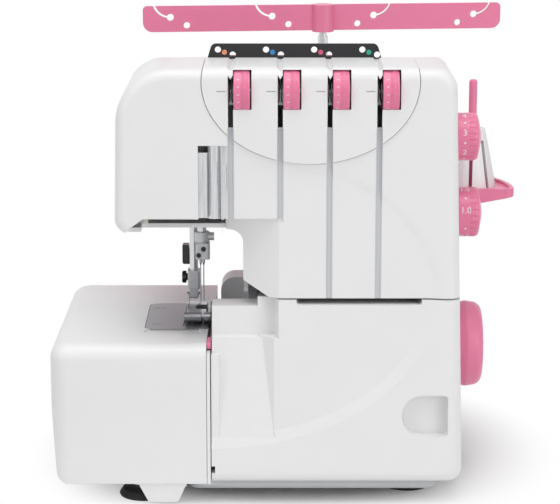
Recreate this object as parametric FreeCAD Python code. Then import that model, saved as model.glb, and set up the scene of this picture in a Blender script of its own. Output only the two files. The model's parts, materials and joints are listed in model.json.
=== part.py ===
"""Domestic four-thread overlock (serger) sewing machine, in millimetres, +Z up, front towards -Y.

The origin is the middle of the machine's footprint at table height. X runs from the cloth plate on the
left to the handwheel on the right.
"""
import FreeCAD, Part
import math
import os
from FreeCAD import Vector

# Covers and housing: widths and depths
SIDE_COVER_WIDTH = 107.7
LOOPER_COVER_WIDTH = 169.7
LOOPER_COVER_DEPTH = 33.0
COVER_SEAM = 0.6
BODY_DEPTH = 162.0
COVER_PAST_COLUMN = 21.6
ARM_REACH = 85.0
RIGHT_DRAFT = 7.9
ARM_DRAFT = 2.5
FRONT_SETBACK = 3.0
DIAL_OVERHANG = 2.5
TRAY_OVERHANG = 49.0
TRAY_REACH = 86.0

# Heights above the table
BASE_UNDERSIDE = 7.0
BASE_HEIGHT = 7.5
BED_HEIGHT = 111.0
COVER_TOP = 142.0
ARM_BOTTOM = 186.0
FACE_BOTTOM = 197.0
BODY_TOP = 296.0
BODY_BACK_TOP = 258.0
TRAY_TOP = 186.3
HANDWHEEL_HEIGHT = 94.5

# Walls and rounds
WALL = 3.0
FRONT_WALL = 4.0
FRONT_ROUND = 7.0
BACK_ROUND = 7.0
TOP_LEFT_ROUND = 36.0
TOP_RIGHT_ROUND = 14.0
ARM_BOTTOM_ROUND = 10.0
THROAT_ROUND = 8.0
COVER_ROUND = 8.0
COVER_CORNER_ROUND = 10.0

# Running and seating clearances
RUN = 0.05
FREE = 0.3
SEAM = 0.4

# Front styling: a shallow recess over the column and the looper cover
RECESS_DEPTH = 1.6
RECESS_BEVEL = 8.0
RECESS_SPAN = 111.5
RECESS_RISE = 88.0
RECESS_START = 13.6
RECESS_TAIL_SLOPE = 0.507
RECESS_LOWER_SPAN = 142.5
RECESS_FALL = 94.5
COLUMN_CHAMFER_WIDTH = 26.6
COLUMN_CHAMFER_DEPTH = 15.0

# Tension units
THREADS = 4
THREAD_PITCH = 32.4
FIRST_THREAD = 7.6
PANEL_HALF_WIDTH = 71.0
PANEL_HALF_HEIGHT = 54.0
PANEL_FROM_COLUMN = 44.6
PANEL_DROP = 8.0
PANEL_PROUD = 1.0
PANEL_DEPTH = 54.0
SLOT_WIDTH = 3.4
SLOT_DROP = 38.2
SLOT_TOP_SKIN = 3.4
SLOT_TONGUE = 2.8
CHANNEL_WIDTH = 4.0
CHANNEL_DEPTH = 2.6
TENSION_DIAL_RADIUS = 14.5
TENSION_DIAL_WIDTH = 10.6
TENSION_DIAL_DROP = 15.0
TENSION_POST_RADIUS = 2.0
TENSION_DISC_RADIUS = 8.0
TENSION_DISC_THICKNESS = 0.6
TENSION_DISC_FLARE = 0.5

# Side dials and handwheel
STITCH_DIAL_RADIUS = 16.0
STITCH_DIAL_HEIGHT = 246.0
FEED_DIAL_RADIUS = 16.7
DIAL_SPACING = 51.4
DIAL_WIDTH = 16.5
DIAL_SETBACK = 40.0
DIAL_GAP = 1.0
DIAL_SPINDLE_RADIUS = 3.0
HANDWHEEL_RADIUS = 30.0
HANDWHEEL_WIDTH = 18.0
HANDWHEEL_DEPTH_SHARE = 0.43210
HANDWHEEL_GAP = 1.0
SHAFT_RADIUS = 5.0

# Needle, presser and stitch plate
NEEDLE_FROM_COLUMN = 30.7
NEEDLE_DEPTH_SHARE = 0.61728
NEEDLE_STROKE = 24.0
NEEDLE_BAR_RADIUS = 3.2
NEEDLE_BAR_LENGTH = 118.0
NEEDLE_PITCH = 2.2
NEEDLE_SHANK = 1.0
NEEDLE_TIP_HEIGHT = 116.0
CLAMP_BOTTOM = 148.6
CLAMP_WIDTH = 10.0
CLAMP_DEPTH = 10.0
CLAMP_HEIGHT = 11.6
COLLAR_HEIGHT = 7.0
PRESSER_BAR_RADIUS = 3.0
BAR_ABOVE_LUG = 22.0
PRESSER_LEFT = 6.4
PRESSER_BEHIND = 14.0
HOLDER_ABOVE_BED = 6.0
HOLDER_HEIGHT = 20.0
HOLDER_WIDTH = 8.7
FOOT_PIN_ABOVE_BED = 7.0
FOOT_PIN_RADIUS = 1.4
FOOT_TOE_WIDTH = 18.0
FOOT_SOLE_WIDTH = 13.7
PLATE_LENGTH = 41.0
PLATE_DEPTH = 71.0
PLATE_THICKNESS = 1.8
PLATE_CORNER = 6.0
LEVER_WIDTH = 2.5
LEVER_HEIGHT = 4.0
LEVER_CAP_LENGTH = 15.0
KNIFE_THICKNESS = 1.5
KNIFE_DEPTH = 11.0
KNIFE_GAP = 0.12
CARRIER_DEPTH = 8.0
FEED_ROWS = (-11.3, -7.1)
FEED_ROW_WIDTH = 2.6
FEED_TRAVEL = 4.0
FEED_POST_LEFT = 31.9
DIFFERENTIAL_FRONT = 46.0
DIFFERENTIAL_BACK = 17.0
MAIN_FEED_FRONT = 10.0
MAIN_FEED_BACK = 5.0

# Frame casting
FRAME_WALL = 6.0
FRAME_INSET = 16.5
FRAME_FRONT = 32.0
BAY_DEPTH = 52.0
FRAME_BACK_SHARE = 0.08025
FLOOR_THICKNESS = 5.0
LUG_THICKNESS = 8.0
LUG_ABOVE_FLOOR = 4.0
LUG_ABOVE_ROCKER = 20.0
FREE_ARM_WALL = 5.0
FREE_ARM_FLOOR = 42.0
FREE_ARM_FLOOR_DEPTH = 45.0
FREE_ARM_RIM = 11.0
BAR_BUSH_RADIUS = 5.0
SHAFT_BUSH_RADIUS = 8.0

# Needle drive and presser lifter
ROCKER_ABOVE_FLOOR = 38.0
ROCKER_REACH_SHARE = 0.17284
ROCKER_RADIUS = 5.0
DRIVE_PIN_RADIUS = 2.5
FORK_THICKNESS = 3.6
FORK_CLEARANCE = 0.45
LIFTER_LEFT = 19.7
LIFTER_HEIGHT = 196.0
LIFTER_DEPTH_SHARE = 0.77160
LIFTER_THICKNESS = 5.0
LIFTER_PIN_RADIUS = 3.0

# Loopers
LOOPER_SHAFT_RADIUS = 3.5
LOOPER_HUB = 7.0
LOOPER_THICKNESS = 2.5
LOWER_LOOPER_RIGHT = 19.6
LOWER_LOOPER_HEIGHT = 56.0
UPPER_LOOPER_LEFT = 18.4
UPPER_LOOPER_HEIGHT = 72.0
UPPER_BLADE = 47.0

# Drive
MOTOR_RADIUS = 26.0
MOTOR_LENGTH = 66.0
MOTOR_FROM_BACK = 41.9998
MOTOR_SHAFT_RADIUS = 2.5
MOTOR_PULLEY_RADIUS = 7.0
MAIN_PULLEY_RADIUS = 24.0
PULLEY_WIDTH = 6.0
PULLEY_FLANGE = 0.8
BELT_THICKNESS = 1.6
BELT_CLEARANCE = 0.3
ECCENTRIC_RADIUS = 12.0
ECCENTRIC_OFFSET = 4.0

# Looper cover and its hinge
CHUTE_WIDTH = 46.2
CHUTE_DEPTH = 14.0
CHUTE_FLOOR_TOP = 115.0
CHUTE_FLOOR_BOTTOM = 47.7
CHUTE_RIM = 135.7
CHUTE_SIDE_SLANT = 20.0
CHUTE_TOP_SLANT = 4.0
CHUTE_SHELF = 5.5
CHUTE_LEFT_WALL = 5.6
CHUTE_LEFT_TOP = 104.0
RIM_STEP = 15.0
TILT_SLOPE = 2.4
NOTCH_LEFT = 57.2
NOTCH_LENGTH = 83.4
NOTCH_DROP = 3.0
FINGER_WIDTH = 30.9
FINGER_HEIGHT = 28.7
FINGER_DEPTH = 8.0
FINGER_FROM_RIGHT = 10.7
FINGER_MIDDLE = 62.4
HINGE_ROD_RADIUS = 1.8
HINGE_ROD_FROM_COVER = 31.3
HINGE_ROD_LENGTH = 100.0
HINGE_ROD_TAIL = 10.5
HINGE_EAR = 5.0
HINGE_LIP = 1.0
SLEEVE_RADIUS = 3.2
SLEEVE_FROM_COVER = 53.3
SLEEVE_LENGTH = 58.0

# Cloth plate cover on the left
SIDE_COVER_WALL = 2.8
SIDE_TOP_ROUND = 10.0
SIDE_FRONT_ROUND = 12.0
SIDE_BACK_ROUND = 14.0
SIDE_COVER_OVERHANG = 20.0

# Base, legs and feet
BASE_LEFT_FROM_COVER = 17.1
BASE_RIGHT_INSET = 15.9
BASE_FRONT_SETBACK = 10.0
BASE_WALL = 2.5
FOOT_RADIUS = 17.5
FOOT_HEIGHT = 12.0
LEFT_FOOT_REACH = 29.7
RIGHT_FOOT_INSET = 19.6
FRONT_FOOT_SETBACK = 24.0
RIGHT_FRONT_SETBACK = 45.0
BACK_FOOT_SETBACK = 132.0

# Power inlet module on the right side
MODULE_HEIGHT = 42.0
MODULE_DEPTH = 22.0
MODULE_FROM_BACK = 6.0
MODULE_RISE = 8.0
MODULE_FLANGE = 1.2

# Thread stand
POLE_FROM_RIGHT = 92.0
POLE_BEHIND = 26.0
TRAY_THICKNESS = 10.4
TRAY_DISH = 1.8
TRAY_RIM = 3.0
TRAY_BACK_ROUND = 78.0
PIN_PITCH_INNER = 76.0
PIN_PITCH_OUTER = 222.8
PIN_RADIUS = 3.0
PIN_TOP = 264.0
CONE_HEIGHT = 43.0
CONE_FOOT_RADIUS = 18.0
CONE_NECK_RADIUS = 9.4
CONE_WALL = 1.6
CONE_SLITS = 8
CONE_SLIT = 2.6
POLE_RADIUS = 3.75
POLE_WALL = 0.6
POLE_GAP = 0.15
POLE_FOOT = 150.0
POLE_STAGE_TOP = 296.0
POLE_STEP = 3.0
ANTENNA_LENGTH = 264.0
ANTENNA_HEIGHT = 18.8
ANTENNA_THICKNESS = 3.0
ANTENNA_BOTTOM = 300.5
ANTENNA_TURN = 6.0
EYE_PITCH_INNER = 75.0
EYE_PITCH_OUTER = 224.0
EYE_RADIUS = 2.6
EYE_SLIT = 1.5
EYE_SWEEP = 12.5
EYE_BELOW_TOP = 8.2
EYE_STEP_IN = 12.0
EYE_STEP_DOWN = 6.0

# Datums worked out from the sizes above
OVERALL_WIDTH = SIDE_COVER_WIDTH + COVER_SEAM + LOOPER_COVER_WIDTH + TRAY_OVERHANG
OVERALL_DEPTH = DIAL_OVERHANG + BODY_DEPTH + TRAY_REACH
X_LEFT = -OVERALL_WIDTH / 2
SIDE_RIGHT = X_LEFT + SIDE_COVER_WIDTH
COVER_LEFT = SIDE_RIGHT + COVER_SEAM
BODY_RIGHT = COVER_LEFT + LOOPER_COVER_WIDTH
COLUMN_LEFT = COVER_LEFT + COVER_PAST_COLUMN
ARM_LEFT = COLUMN_LEFT - ARM_REACH
Y_FRONT = -OVERALL_DEPTH / 2 + DIAL_OVERHANG
BODY_BACK = Y_FRONT + BODY_DEPTH
SHELL_FRONT = Y_FRONT + FRONT_SETBACK
COVER_BACK = Y_FRONT + LOOPER_COVER_DEPTH
BASE_TOP = BASE_UNDERSIDE + BASE_HEIGHT
SHELL_BOTTOM = COVER_TOP + 1.0
COVER_BOTTOM = BASE_TOP + FREE
PARTING = Y_FRONT + 72.0
NEEDLE_X = COLUMN_LEFT - NEEDLE_FROM_COLUMN
NEEDLE_Y = Y_FRONT + NEEDLE_DEPTH_SHARE * BODY_DEPTH
ROCKER_BEHIND = ROCKER_REACH_SHARE * BODY_DEPTH
PRESSER_X = NEEDLE_X - PRESSER_LEFT
PRESSER_Y = NEEDLE_Y + PRESSER_BEHIND
PLATE_RIGHT = NEEDLE_X + 3.3
PLATE_LEFT = PLATE_RIGHT - PLATE_LENGTH
PLATE_FRONT = NEEDLE_Y - 54.0
PLATE_BACK = PLATE_FRONT + PLATE_DEPTH
LEVER_X = NEEDLE_X + 6.3
LEVER_Z = BED_HEIGHT - LEVER_HEIGHT
LEVER_CAP_FRONT = Y_FRONT + 8.0
KNIFE_FRONT = NEEDLE_Y - 22.0
KNIFE_BACK = KNIFE_FRONT + KNIFE_DEPTH
GUIDE_LEFT = NEEDLE_X + 14.0
SHAFT_Y = Y_FRONT + HANDWHEEL_DEPTH_SHARE * BODY_DEPTH
DIAL_Y = Y_FRONT + DIAL_SETBACK
FEED_DIAL_HEIGHT = STITCH_DIAL_HEIGHT - DIAL_SPACING
RIGHT_PLATE = BODY_RIGHT - FRAME_INSET - FRAME_WALL
LEFT_PLATE = COLUMN_LEFT + WALL
PLATE_EDGE = Y_FRONT + FRAME_FRONT
BAY_BACK = Y_FRONT + BAY_DEPTH
FRAME_BACK = BODY_BACK - WALL - FRAME_BACK_SHARE * BODY_DEPTH
FRAME_FLOOR_TOP = BASE_TOP + FLOOR_THICKNESS
ROCKER_Y = NEEDLE_Y + ROCKER_BEHIND
ROCKER_HEIGHT = ARM_BOTTOM + ROCKER_ABOVE_FLOOR
LOWER_LUG = ARM_BOTTOM + LUG_ABOVE_FLOOR
UPPER_LUG = ROCKER_HEIGHT + LUG_ABOVE_ROCKER
PRESSER_BAR_TOP = UPPER_LUG + BAR_ABOVE_LUG
HOLDER_BOTTOM = BED_HEIGHT + HOLDER_ABOVE_BED
HOLDER_TOP = HOLDER_BOTTOM + HOLDER_HEIGHT
FOOT_PIN_Z = BED_HEIGHT + FOOT_PIN_ABOVE_BED
DRIVE_Z = ROCKER_HEIGHT + NEEDLE_STROKE / 2
DRIVE_RIGHT = NEEDLE_X + 4.2
LIFTER_X = NEEDLE_X - LIFTER_LEFT
LIFTER_Y = Y_FRONT + LIFTER_DEPTH_SHARE * BODY_DEPTH
LOWER_LOOPER_X = NEEDLE_X + LOWER_LOOPER_RIGHT
UPPER_LOOPER_X = NEEDLE_X - UPPER_LOOPER_LEFT
MOTOR_Y = BODY_BACK - MOTOR_FROM_BACK
MOTOR_Z = FRAME_FLOOR_TOP + MOTOR_RADIUS + 1.0
MOTOR_RIGHT = RIGHT_PLATE - 4.0
PULLEY_LEFT = RIGHT_PLATE + FRAME_WALL + 1.5
SHAFT_LEFT = LEFT_PLATE - 6.0
POLE_X = BODY_RIGHT - POLE_FROM_RIGHT
POLE_Y = BODY_BACK + POLE_BEHIND
TRAY_UNDERSIDE = TRAY_TOP - TRAY_THICKNESS
TRAY_HALF = BODY_RIGHT + TRAY_OVERHANG - POLE_X
TRAY_FLOOR = TRAY_TOP - TRAY_DISH
PANEL_X = COLUMN_LEFT + PANEL_FROM_COLUMN
PANEL_Z = BODY_TOP - PANEL_DROP
TENSION_Z = BODY_TOP - TENSION_DIAL_DROP
TENSION_Y = Y_FRONT - DIAL_OVERHANG + TENSION_DIAL_RADIUS
HINGE_Y = Y_FRONT + COVER_ROUND
HINGE_Z = COVER_BOTTOM + COVER_ROUND
HINGE_ROD_LEFT = COVER_LEFT + HINGE_ROD_FROM_COVER
SLEEVE_LEFT = COVER_LEFT + SLEEVE_FROM_COVER
BASE_LEFT = COVER_LEFT - BASE_LEFT_FROM_COVER
BASE_RIGHT = BODY_RIGHT - BASE_RIGHT_INSET
LEFT_FOOT_X = BASE_LEFT - LEFT_FOOT_REACH
RIGHT_FOOT_X = BASE_RIGHT - RIGHT_FOOT_INSET
MODULE_Y1 = BODY_BACK - MODULE_FROM_BACK
MODULE_Y0 = MODULE_Y1 - MODULE_DEPTH
MODULE_Z0 = BASE_TOP + MODULE_RISE
MODULE_Z1 = MODULE_Z0 + MODULE_HEIGHT
SWITCH_Z = MODULE_Z1 - 11.0
FAR = 400.0


# Plain forms

def outline(points, place):
    """Closed wire through (u, v, corner radius) points, with the round corners as arcs."""
    count = len(points)
    corners = []
    for index, (u, v, radius) in enumerate(points):
        before = points[index - 1]
        after = points[(index + 1) % count]
        corner = Vector(u, v, 0)
        back = (Vector(before[0], before[1], 0) - corner).normalize()
        ahead = (Vector(after[0], after[1], 0) - corner).normalize()
        if radius == 0:
            corners.append((corner, None, corner))
            continue
        half = math.acos(back.dot(ahead)) / 2
        reach = radius / math.tan(half)
        middle = (back + ahead).normalize()
        centre = corner + middle * (radius / math.sin(half))
        corners.append((corner + back * reach, centre - middle * radius, corner + ahead * reach))
    edges = []
    for index, (entry, top, leave) in enumerate(corners):
        following = corners[(index + 1) % count][0]
        if top is not None:
            edges.append(Part.Arc(place(entry), place(top), place(leave)).toShape())
        if (following - leave).Length > 1e-6:
            edges.append(Part.LineSegment(place(leave), place(following)).toShape())
    return Part.Wire(edges)


def sharp(points):
    """The same points with no corner radius."""
    return [(u, v, 0) for u, v in points]


def slab_xz(points, y0, y1):
    """Front outline in X and Z, extruded along Y."""
    wire = outline(points, lambda p: Vector(p.x, y0, p.y))
    return Part.Face(wire).extrude(Vector(0, y1 - y0, 0))


def slab_yz(points, x0, x1):
    """Side outline in Y and Z, extruded along X."""
    wire = outline(points, lambda p: Vector(x0, p.x, p.y))
    return Part.Face(wire).extrude(Vector(x1 - x0, 0, 0))


def slab_xy(points, z0, z1):
    """Plan outline in X and Y, extruded along Z."""
    wire = outline(points, lambda p: Vector(p.x, p.y, z0))
    return Part.Face(wire).extrude(Vector(0, 0, z1 - z0))


def rectangle(u0, u1, v0, v1, radius=0.0):
    return [(u0, v0, radius), (u1, v0, radius), (u1, v1, radius), (u0, v1, radius)]


def box(x0, x1, y0, y1, z0, z1):
    return Part.makeBox(x1 - x0, y1 - y0, z1 - z0, Vector(x0, y0, z0))


def rod_x(x0, x1, y, z, radius):
    return Part.makeCylinder(radius, x1 - x0, Vector(x0, y, z), Vector(1, 0, 0))


def rod_y(y0, y1, x, z, radius):
    return Part.makeCylinder(radius, y1 - y0, Vector(x, y0, z), Vector(0, 1, 0))


def rod_z(z0, z1, x, y, radius):
    return Part.makeCylinder(radius, z1 - z0, Vector(x, y, z0), Vector(0, 0, 1))


def turned_x(points, y, z):
    """Body of revolution about a line along X, from (x, radius, corner radius) points."""
    wire = outline(points, lambda p: Vector(p.x, y, z + p.y))
    return Part.Face(wire).revolve(Vector(0, y, z), Vector(1, 0, 0), 360)


def turned_z(points, x, y):
    """Body of revolution about a vertical line, from (radius, z, corner radius) points."""
    wire = outline(points, lambda p: Vector(x + p.x, y, p.y))
    return Part.Face(wire).revolve(Vector(x, y, 0), Vector(0, 0, 1), 360)


def joined(first, *others):
    return first.fuse(list(others)).removeSplitter()


def flat_edges(shape, axis, value, keep=lambda edge: True):
    """Edges that lie in the plane where the axis has that value."""
    found = []
    for edge in shape.Edges:
        bounds = edge.BoundBox
        low = getattr(bounds, axis + "Min")
        high = getattr(bounds, axis + "Max")
        if abs(low - value) < 0.01 and abs(high - value) < 0.01 and keep(edge):
            found.append(edge)
    return found


def thread_x(index):
    """Middle of a thread's slot, counted from the left needle thread."""
    return COLUMN_LEFT - FIRST_THREAD + index * THREAD_PITCH


def right_side(z):
    """The body's right side leans in towards the top."""
    return BODY_RIGHT - RIGHT_DRAFT * (z - BASE_TOP) / (BODY_TOP - BASE_TOP)


def switch_axis():
    return right_side(SWITCH_Z) - 2.4


# Column and arm housing

def body_outline(inset, bottom):
    top = BODY_TOP - inset
    return [
        (ARM_LEFT + inset, ARM_BOTTOM + inset, ARM_BOTTOM_ROUND - inset),
        (COLUMN_LEFT + inset, ARM_BOTTOM + inset, THROAT_ROUND + inset),
        (COLUMN_LEFT + inset, bottom, 0),
        (right_side(bottom) - inset, bottom, 0),
        (right_side(top) - inset, top, TOP_RIGHT_ROUND - inset),
        (ARM_LEFT + ARM_DRAFT + inset, top, TOP_LEFT_ROUND - inset),
    ]


def body_form(inset, front_inset, bottom):
    """The whole upper body as a solid, drawn in by the inset, with its crowned top and back."""
    front = SHELL_FRONT + front_inset
    back = BODY_BACK - inset
    form = slab_xz(body_outline(inset, bottom), front, back)
    above = lambda edge: edge.BoundBox.ZMax > bottom + 0.1
    form = form.makeFillet(FRONT_ROUND - inset, flat_edges(form, "Y", front, above))
    form = form.makeFillet(BACK_ROUND - inset, flat_edges(form, "Y", back, above))
    crown = [
        (front - 10, bottom - 10, 0),
        (front - 10, BODY_TOP - inset, 0),
        (PARTING + 3.0, BODY_TOP - inset, 60.0),
        (back, BODY_BACK_TOP - inset, 30.0),
        (back, bottom - 10, 0),
    ]
    return form.common(slab_yz(crown, ARM_LEFT - 20, BODY_RIGHT + 20))


def chamfer_tool(inset):
    """Wedge that takes the column's front left corner away below the arm."""
    run = Vector(-COLUMN_CHAMFER_WIDTH, COLUMN_CHAMFER_DEPTH, 0)
    normal = Vector(-run.y, run.x, 0).normalize()
    start = Vector(COLUMN_LEFT + COLUMN_CHAMFER_WIDTH, SHELL_FRONT, 0) - normal * inset
    low = start - run * 0.6
    high = start + run * 1.5
    points = sharp([(low.x, low.y), (high.x, high.y), (high.x, low.y - 5), (low.x, low.y - 5)])
    return slab_xy(points, BASE_TOP - 20, FACE_BOTTOM + inset)


def panel_disc(grow):
    """Elliptical cylinder through the front, as wide as the tension panel."""
    ellipse = Part.Ellipse(
        Vector(PANEL_X, SHELL_FRONT - 20, PANEL_Z), PANEL_HALF_WIDTH + grow, PANEL_HALF_HEIGHT + grow)
    disc = Part.Face(Part.Wire(ellipse.toShape()))
    centre = Vector(PANEL_X, SHELL_FRONT - 20, PANEL_Z)
    disc.rotate(centre, Vector(1, 0, 0), 90)
    return disc.extrude(Vector(0, PANEL_DEPTH + 20 + grow, 0))


def recess_upper(grow, y):
    """Outline of the shallow front recess on the column: a quarter ellipse with a straight tail."""
    left = thread_x(0) + 1.4
    middle = COLUMN_LEFT + RECESS_START
    across = RECESS_SPAN + grow
    up = RECESS_RISE + grow
    quarter = Part.ArcOfEllipse(Part.Ellipse(Vector(0, 0, 0), across, up), 0, math.pi / 2).toShape()
    quarter.rotate(Vector(0, 0, 0), Vector(1, 0, 0), 90)
    quarter.translate(Vector(middle, y, SHELL_BOTTOM))
    tail = SHELL_BOTTOM + up + RECESS_TAIL_SLOPE * (middle - left)
    sides = Part.makePolygon([Vector(middle, y, SHELL_BOTTOM + up), Vector(left, y, tail),
                              Vector(left, y, SHELL_BOTTOM - 1), Vector(middle + across, y, SHELL_BOTTOM - 1),
                              Vector(middle + across, y, SHELL_BOTTOM)])
    return Part.Wire(Part.__sortEdges__([quarter] + sides.Edges))


def housing_shell():
    outer = body_form(0.0, 0.0, BASE_TOP).cut(chamfer_tool(0.0))
    inner = body_form(WALL, FRONT_WALL, BASE_TOP - 15).cut(chamfer_tool(WALL))
    return outer, inner


def make_front_housing(outer, inner):
    keep = box(-FAR, FAR, -FAR, PARTING, SHELL_BOTTOM, FAR)
    shell = outer.cut(inner).common(keep)
    recess = Part.makeLoft(
        [recess_upper(RECESS_BEVEL, SHELL_FRONT - 0.01), recess_upper(0.0, SHELL_FRONT + RECESS_DEPTH)],
        True, True)
    deep = SHELL_FRONT + FRONT_WALL
    face = [(ARM_LEFT + 4, ARM_BOTTOM - 2, 0), (ARM_LEFT + 11, ARM_BOTTOM + 5, 0),
            (ARM_LEFT + 19, FACE_BOTTOM, 4.0),
            (needle_slot_right(), FACE_BOTTOM, 0), (needle_slot_right(), ARM_BOTTOM - 2, 0)]
    face_cut = slab_xz(face, SHELL_FRONT - 1, deep + 8)
    needle_slot = box(needle_slot_left(), needle_slot_right(), SHELL_FRONT - 1, deep + 1,
                      FACE_BOTTOM - 2, needle_slot_top())
    flare = slab_xy(sharp([(needle_slot_right() - 0.1, deep + 0.1), (thread_x(0) - 2.2, SHELL_FRONT - 0.1),
                           (needle_slot_right() - 0.1, SHELL_FRONT - 0.1)]),
                    FACE_BOTTOM - 2, needle_slot_top())
    arm_floor = box(ARM_LEFT + 17, COLUMN_LEFT - 11.4, deep, Y_FRONT + 28.7, ARM_BOTTOM - 1,
                    ARM_BOTTOM + WALL + 1)
    arch = slab_xz(sharp([(COLUMN_LEFT - 1, SHELL_BOTTOM - 1), (COLUMN_LEFT + 19, SHELL_BOTTOM - 1),
                          (COLUMN_LEFT - 1, SHELL_BOTTOM + 10)]), SHELL_FRONT - 1, PARTING)
    shell = shell.cut([recess, panel_disc(SEAM), face_cut, needle_slot, flare, arm_floor, arch])
    grooves = [channel_groove(index) for index in range(THREADS)]
    spindles = [rod_x(RIGHT_PLATE, BODY_RIGHT + 5, DIAL_Y, height, DIAL_SPINDLE_RADIUS + FREE)
                for height in (STITCH_DIAL_HEIGHT, FEED_DIAL_HEIGHT)]
    return shell.cut(grooves + spindles)


def needle_slot_left():
    return NEEDLE_X + 1.5


def needle_slot_right():
    return NEEDLE_X + 17.3


def needle_slot_top():
    return FACE_BOTTOM + 49.0


def channel_bottom(index):
    return FACE_BOTTOM if index < 2 else SHELL_BOTTOM


def channel_groove(index):
    """Groove in the front wall that holds a thread channel's liner."""
    half = CHANNEL_WIDTH / 2
    middle = thread_x(index)
    return box(middle - half, middle + half, SHELL_FRONT - 5, SHELL_FRONT + CHANNEL_DEPTH,
               channel_bottom(index) - 2, slot_bottom())


def slot_bottom():
    return BODY_TOP - SLOT_DROP


def make_thread_channels():
    liners = []
    for index in range(THREADS):
        middle = thread_x(index)
        half = CHANNEL_WIDTH / 2 - RUN
        floor = SHELL_FRONT + CHANNEL_DEPTH
        liner = box(middle - half, middle + half, floor - 1.0, floor, channel_bottom(index), slot_bottom())
        furrow = box(middle - half + 0.7, middle + half - 0.7, floor - 2, floor - 0.5,
                     channel_bottom(index) - 1, slot_bottom() - 1.0)
        liners.append(liner.cut(furrow))
    return Part.makeCompound(liners)


def make_tension_panel(inner):
    grown = body_form(-PANEL_PROUD, -PANEL_PROUD, BASE_TOP)
    back = box(-FAR, FAR, SHELL_FRONT + PANEL_DEPTH, FAR, 0, FAR)
    panel = grown.common(panel_disc(0.0)).cut([inner, back])
    cuts = []
    for index in range(THREADS):
        middle = thread_x(index)
        half = SLOT_WIDTH / 2
        skin = BODY_TOP - SLOT_TOP_SKIN
        cuts.append(slab_xz(sharp([(middle - half, slot_bottom()), (middle + half, slot_bottom()),
                                   (middle + half, skin),
                                   (middle, skin - SLOT_TONGUE), (middle - half, skin)]),
                            SHELL_FRONT - 5, SHELL_FRONT + FRONT_WALL + 1))
        cuts.append(channel_groove(index))
        window = dial_left(index) - 0.4
        window_right = window + TENSION_DIAL_WIDTH + 1.5
        cuts.append(rod_x(window, window_right, TENSION_Y, TENSION_Z, TENSION_DIAL_RADIUS + FREE))
        cuts.append(box(window, window_right, SHELL_FRONT - 5, TENSION_Y, TENSION_Z, BODY_TOP - 0.4))
        top = BODY_TOP + PANEL_PROUD
        cuts.append(slab_xz(sharp([(middle - 3.0, top + 0.5), (middle + 3.0, top + 0.5),
                                   (middle, top - 2.2)]), SHELL_FRONT - 5, FAR))
    return panel.cut(cuts)


def dial_left(index):
    return thread_x(index) + SLOT_WIDTH / 2 + FREE


def make_rear_housing(outer, inner):
    keep = joined(box(-FAR, FAR, PARTING, FAR, BASE_TOP - 1, FAR),
                  box(-FAR, FAR, COVER_BACK + 2.5, FAR, BASE_TOP - 1, SHELL_BOTTOM))
    bump_left = COLUMN_LEFT - 18.3
    bump_front = NEEDLE_Y + 32.0
    bump_back = BODY_BACK - BACK_ROUND
    bump_top = BED_HEIGHT + 16.0
    inward = COLUMN_LEFT + 12
    bump = slab_xz([(bump_left, BASE_TOP, 0), (inward, BASE_TOP, 0), (inward, bump_top, 0),
                    (bump_left, bump_top, 10.0)], bump_front, bump_back)
    bump_inside = slab_xz([(bump_left + WALL, BASE_TOP - 1, 0), (inward + 1, BASE_TOP - 1, 0),
                           (inward + 1, bump_top - WALL, 0), (bump_left + WALL, bump_top - WALL, 7.0)],
                          bump_front + WALL, bump_back - WALL)
    free_arm_way = box(COLUMN_LEFT - 1, COLUMN_LEFT + WALL + 0.5, COVER_BACK, bump_front - 1, 0,
                       SHELL_BOTTOM - 3)
    arm_floor = box(ARM_LEFT + 17, COLUMN_LEFT - 11.4, NEEDLE_Y - 14, LIFTER_Y + LIFTER_THICKNESS + 4,
                    ARM_BOTTOM - 1, ARM_BOTTOM + WALL + 1)
    shaft_hole = rod_x(BODY_RIGHT - 12, BODY_RIGHT + 5, SHAFT_Y, HANDWHEEL_HEIGHT, SHAFT_RADIUS + 1.5)
    shell = outer.common(keep).fuse(bump).cut([inner, bump_inside, free_arm_way, arm_floor, shaft_hole])
    return shell.cut(module_pocket())


def module_pocket():
    return box(BODY_RIGHT - 8, BODY_RIGHT + 5, MODULE_Y0, MODULE_Y1, MODULE_Z0, MODULE_Z1)


def make_power_module(outer):
    left = RIGHT_PLATE + FRAME_WALL + 1.0
    y0 = MODULE_Y0 + RUN
    y1 = MODULE_Y1 - RUN
    face = right_side(MODULE_Z1) + MODULE_FLANGE
    block = box(left, face, y0, y1, MODULE_Z0 + RUN, MODULE_Z1 - RUN)
    flange = slab_yz(rectangle(MODULE_Y0 - 2, MODULE_Y1 + 2, MODULE_Z0 - 2, MODULE_Z1 + 2, 2.5),
                     BODY_RIGHT - 4, BODY_RIGHT + MODULE_FLANGE).cut(outer)
    socket = slab_yz(rectangle(y0 + 2.5, y1 - 2.5, MODULE_Z0 + 3, MODULE_Z0 + 18, 3.0), left + 3,
                     BODY_RIGHT + 3)
    bay = box(left + 3, BODY_RIGHT + 3, y0 + 3, y1 - 3, SWITCH_Z - 7.5, SWITCH_Z + 7.5)
    middle = (y0 + y1) / 2
    blades = [box(left + 2.9, left + 10, middle + side * 4 - 0.8, middle + side * 4 + 0.8,
                  MODULE_Z0 + 8, MODULE_Z0 + 13) for side in (-1, 1)]
    axle = rod_y(y0 + 1, y1 - 1, switch_axis(), SWITCH_Z, 1.2)
    return joined(joined(block, flange).cut([socket, bay]), *blades, axle)


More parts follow.
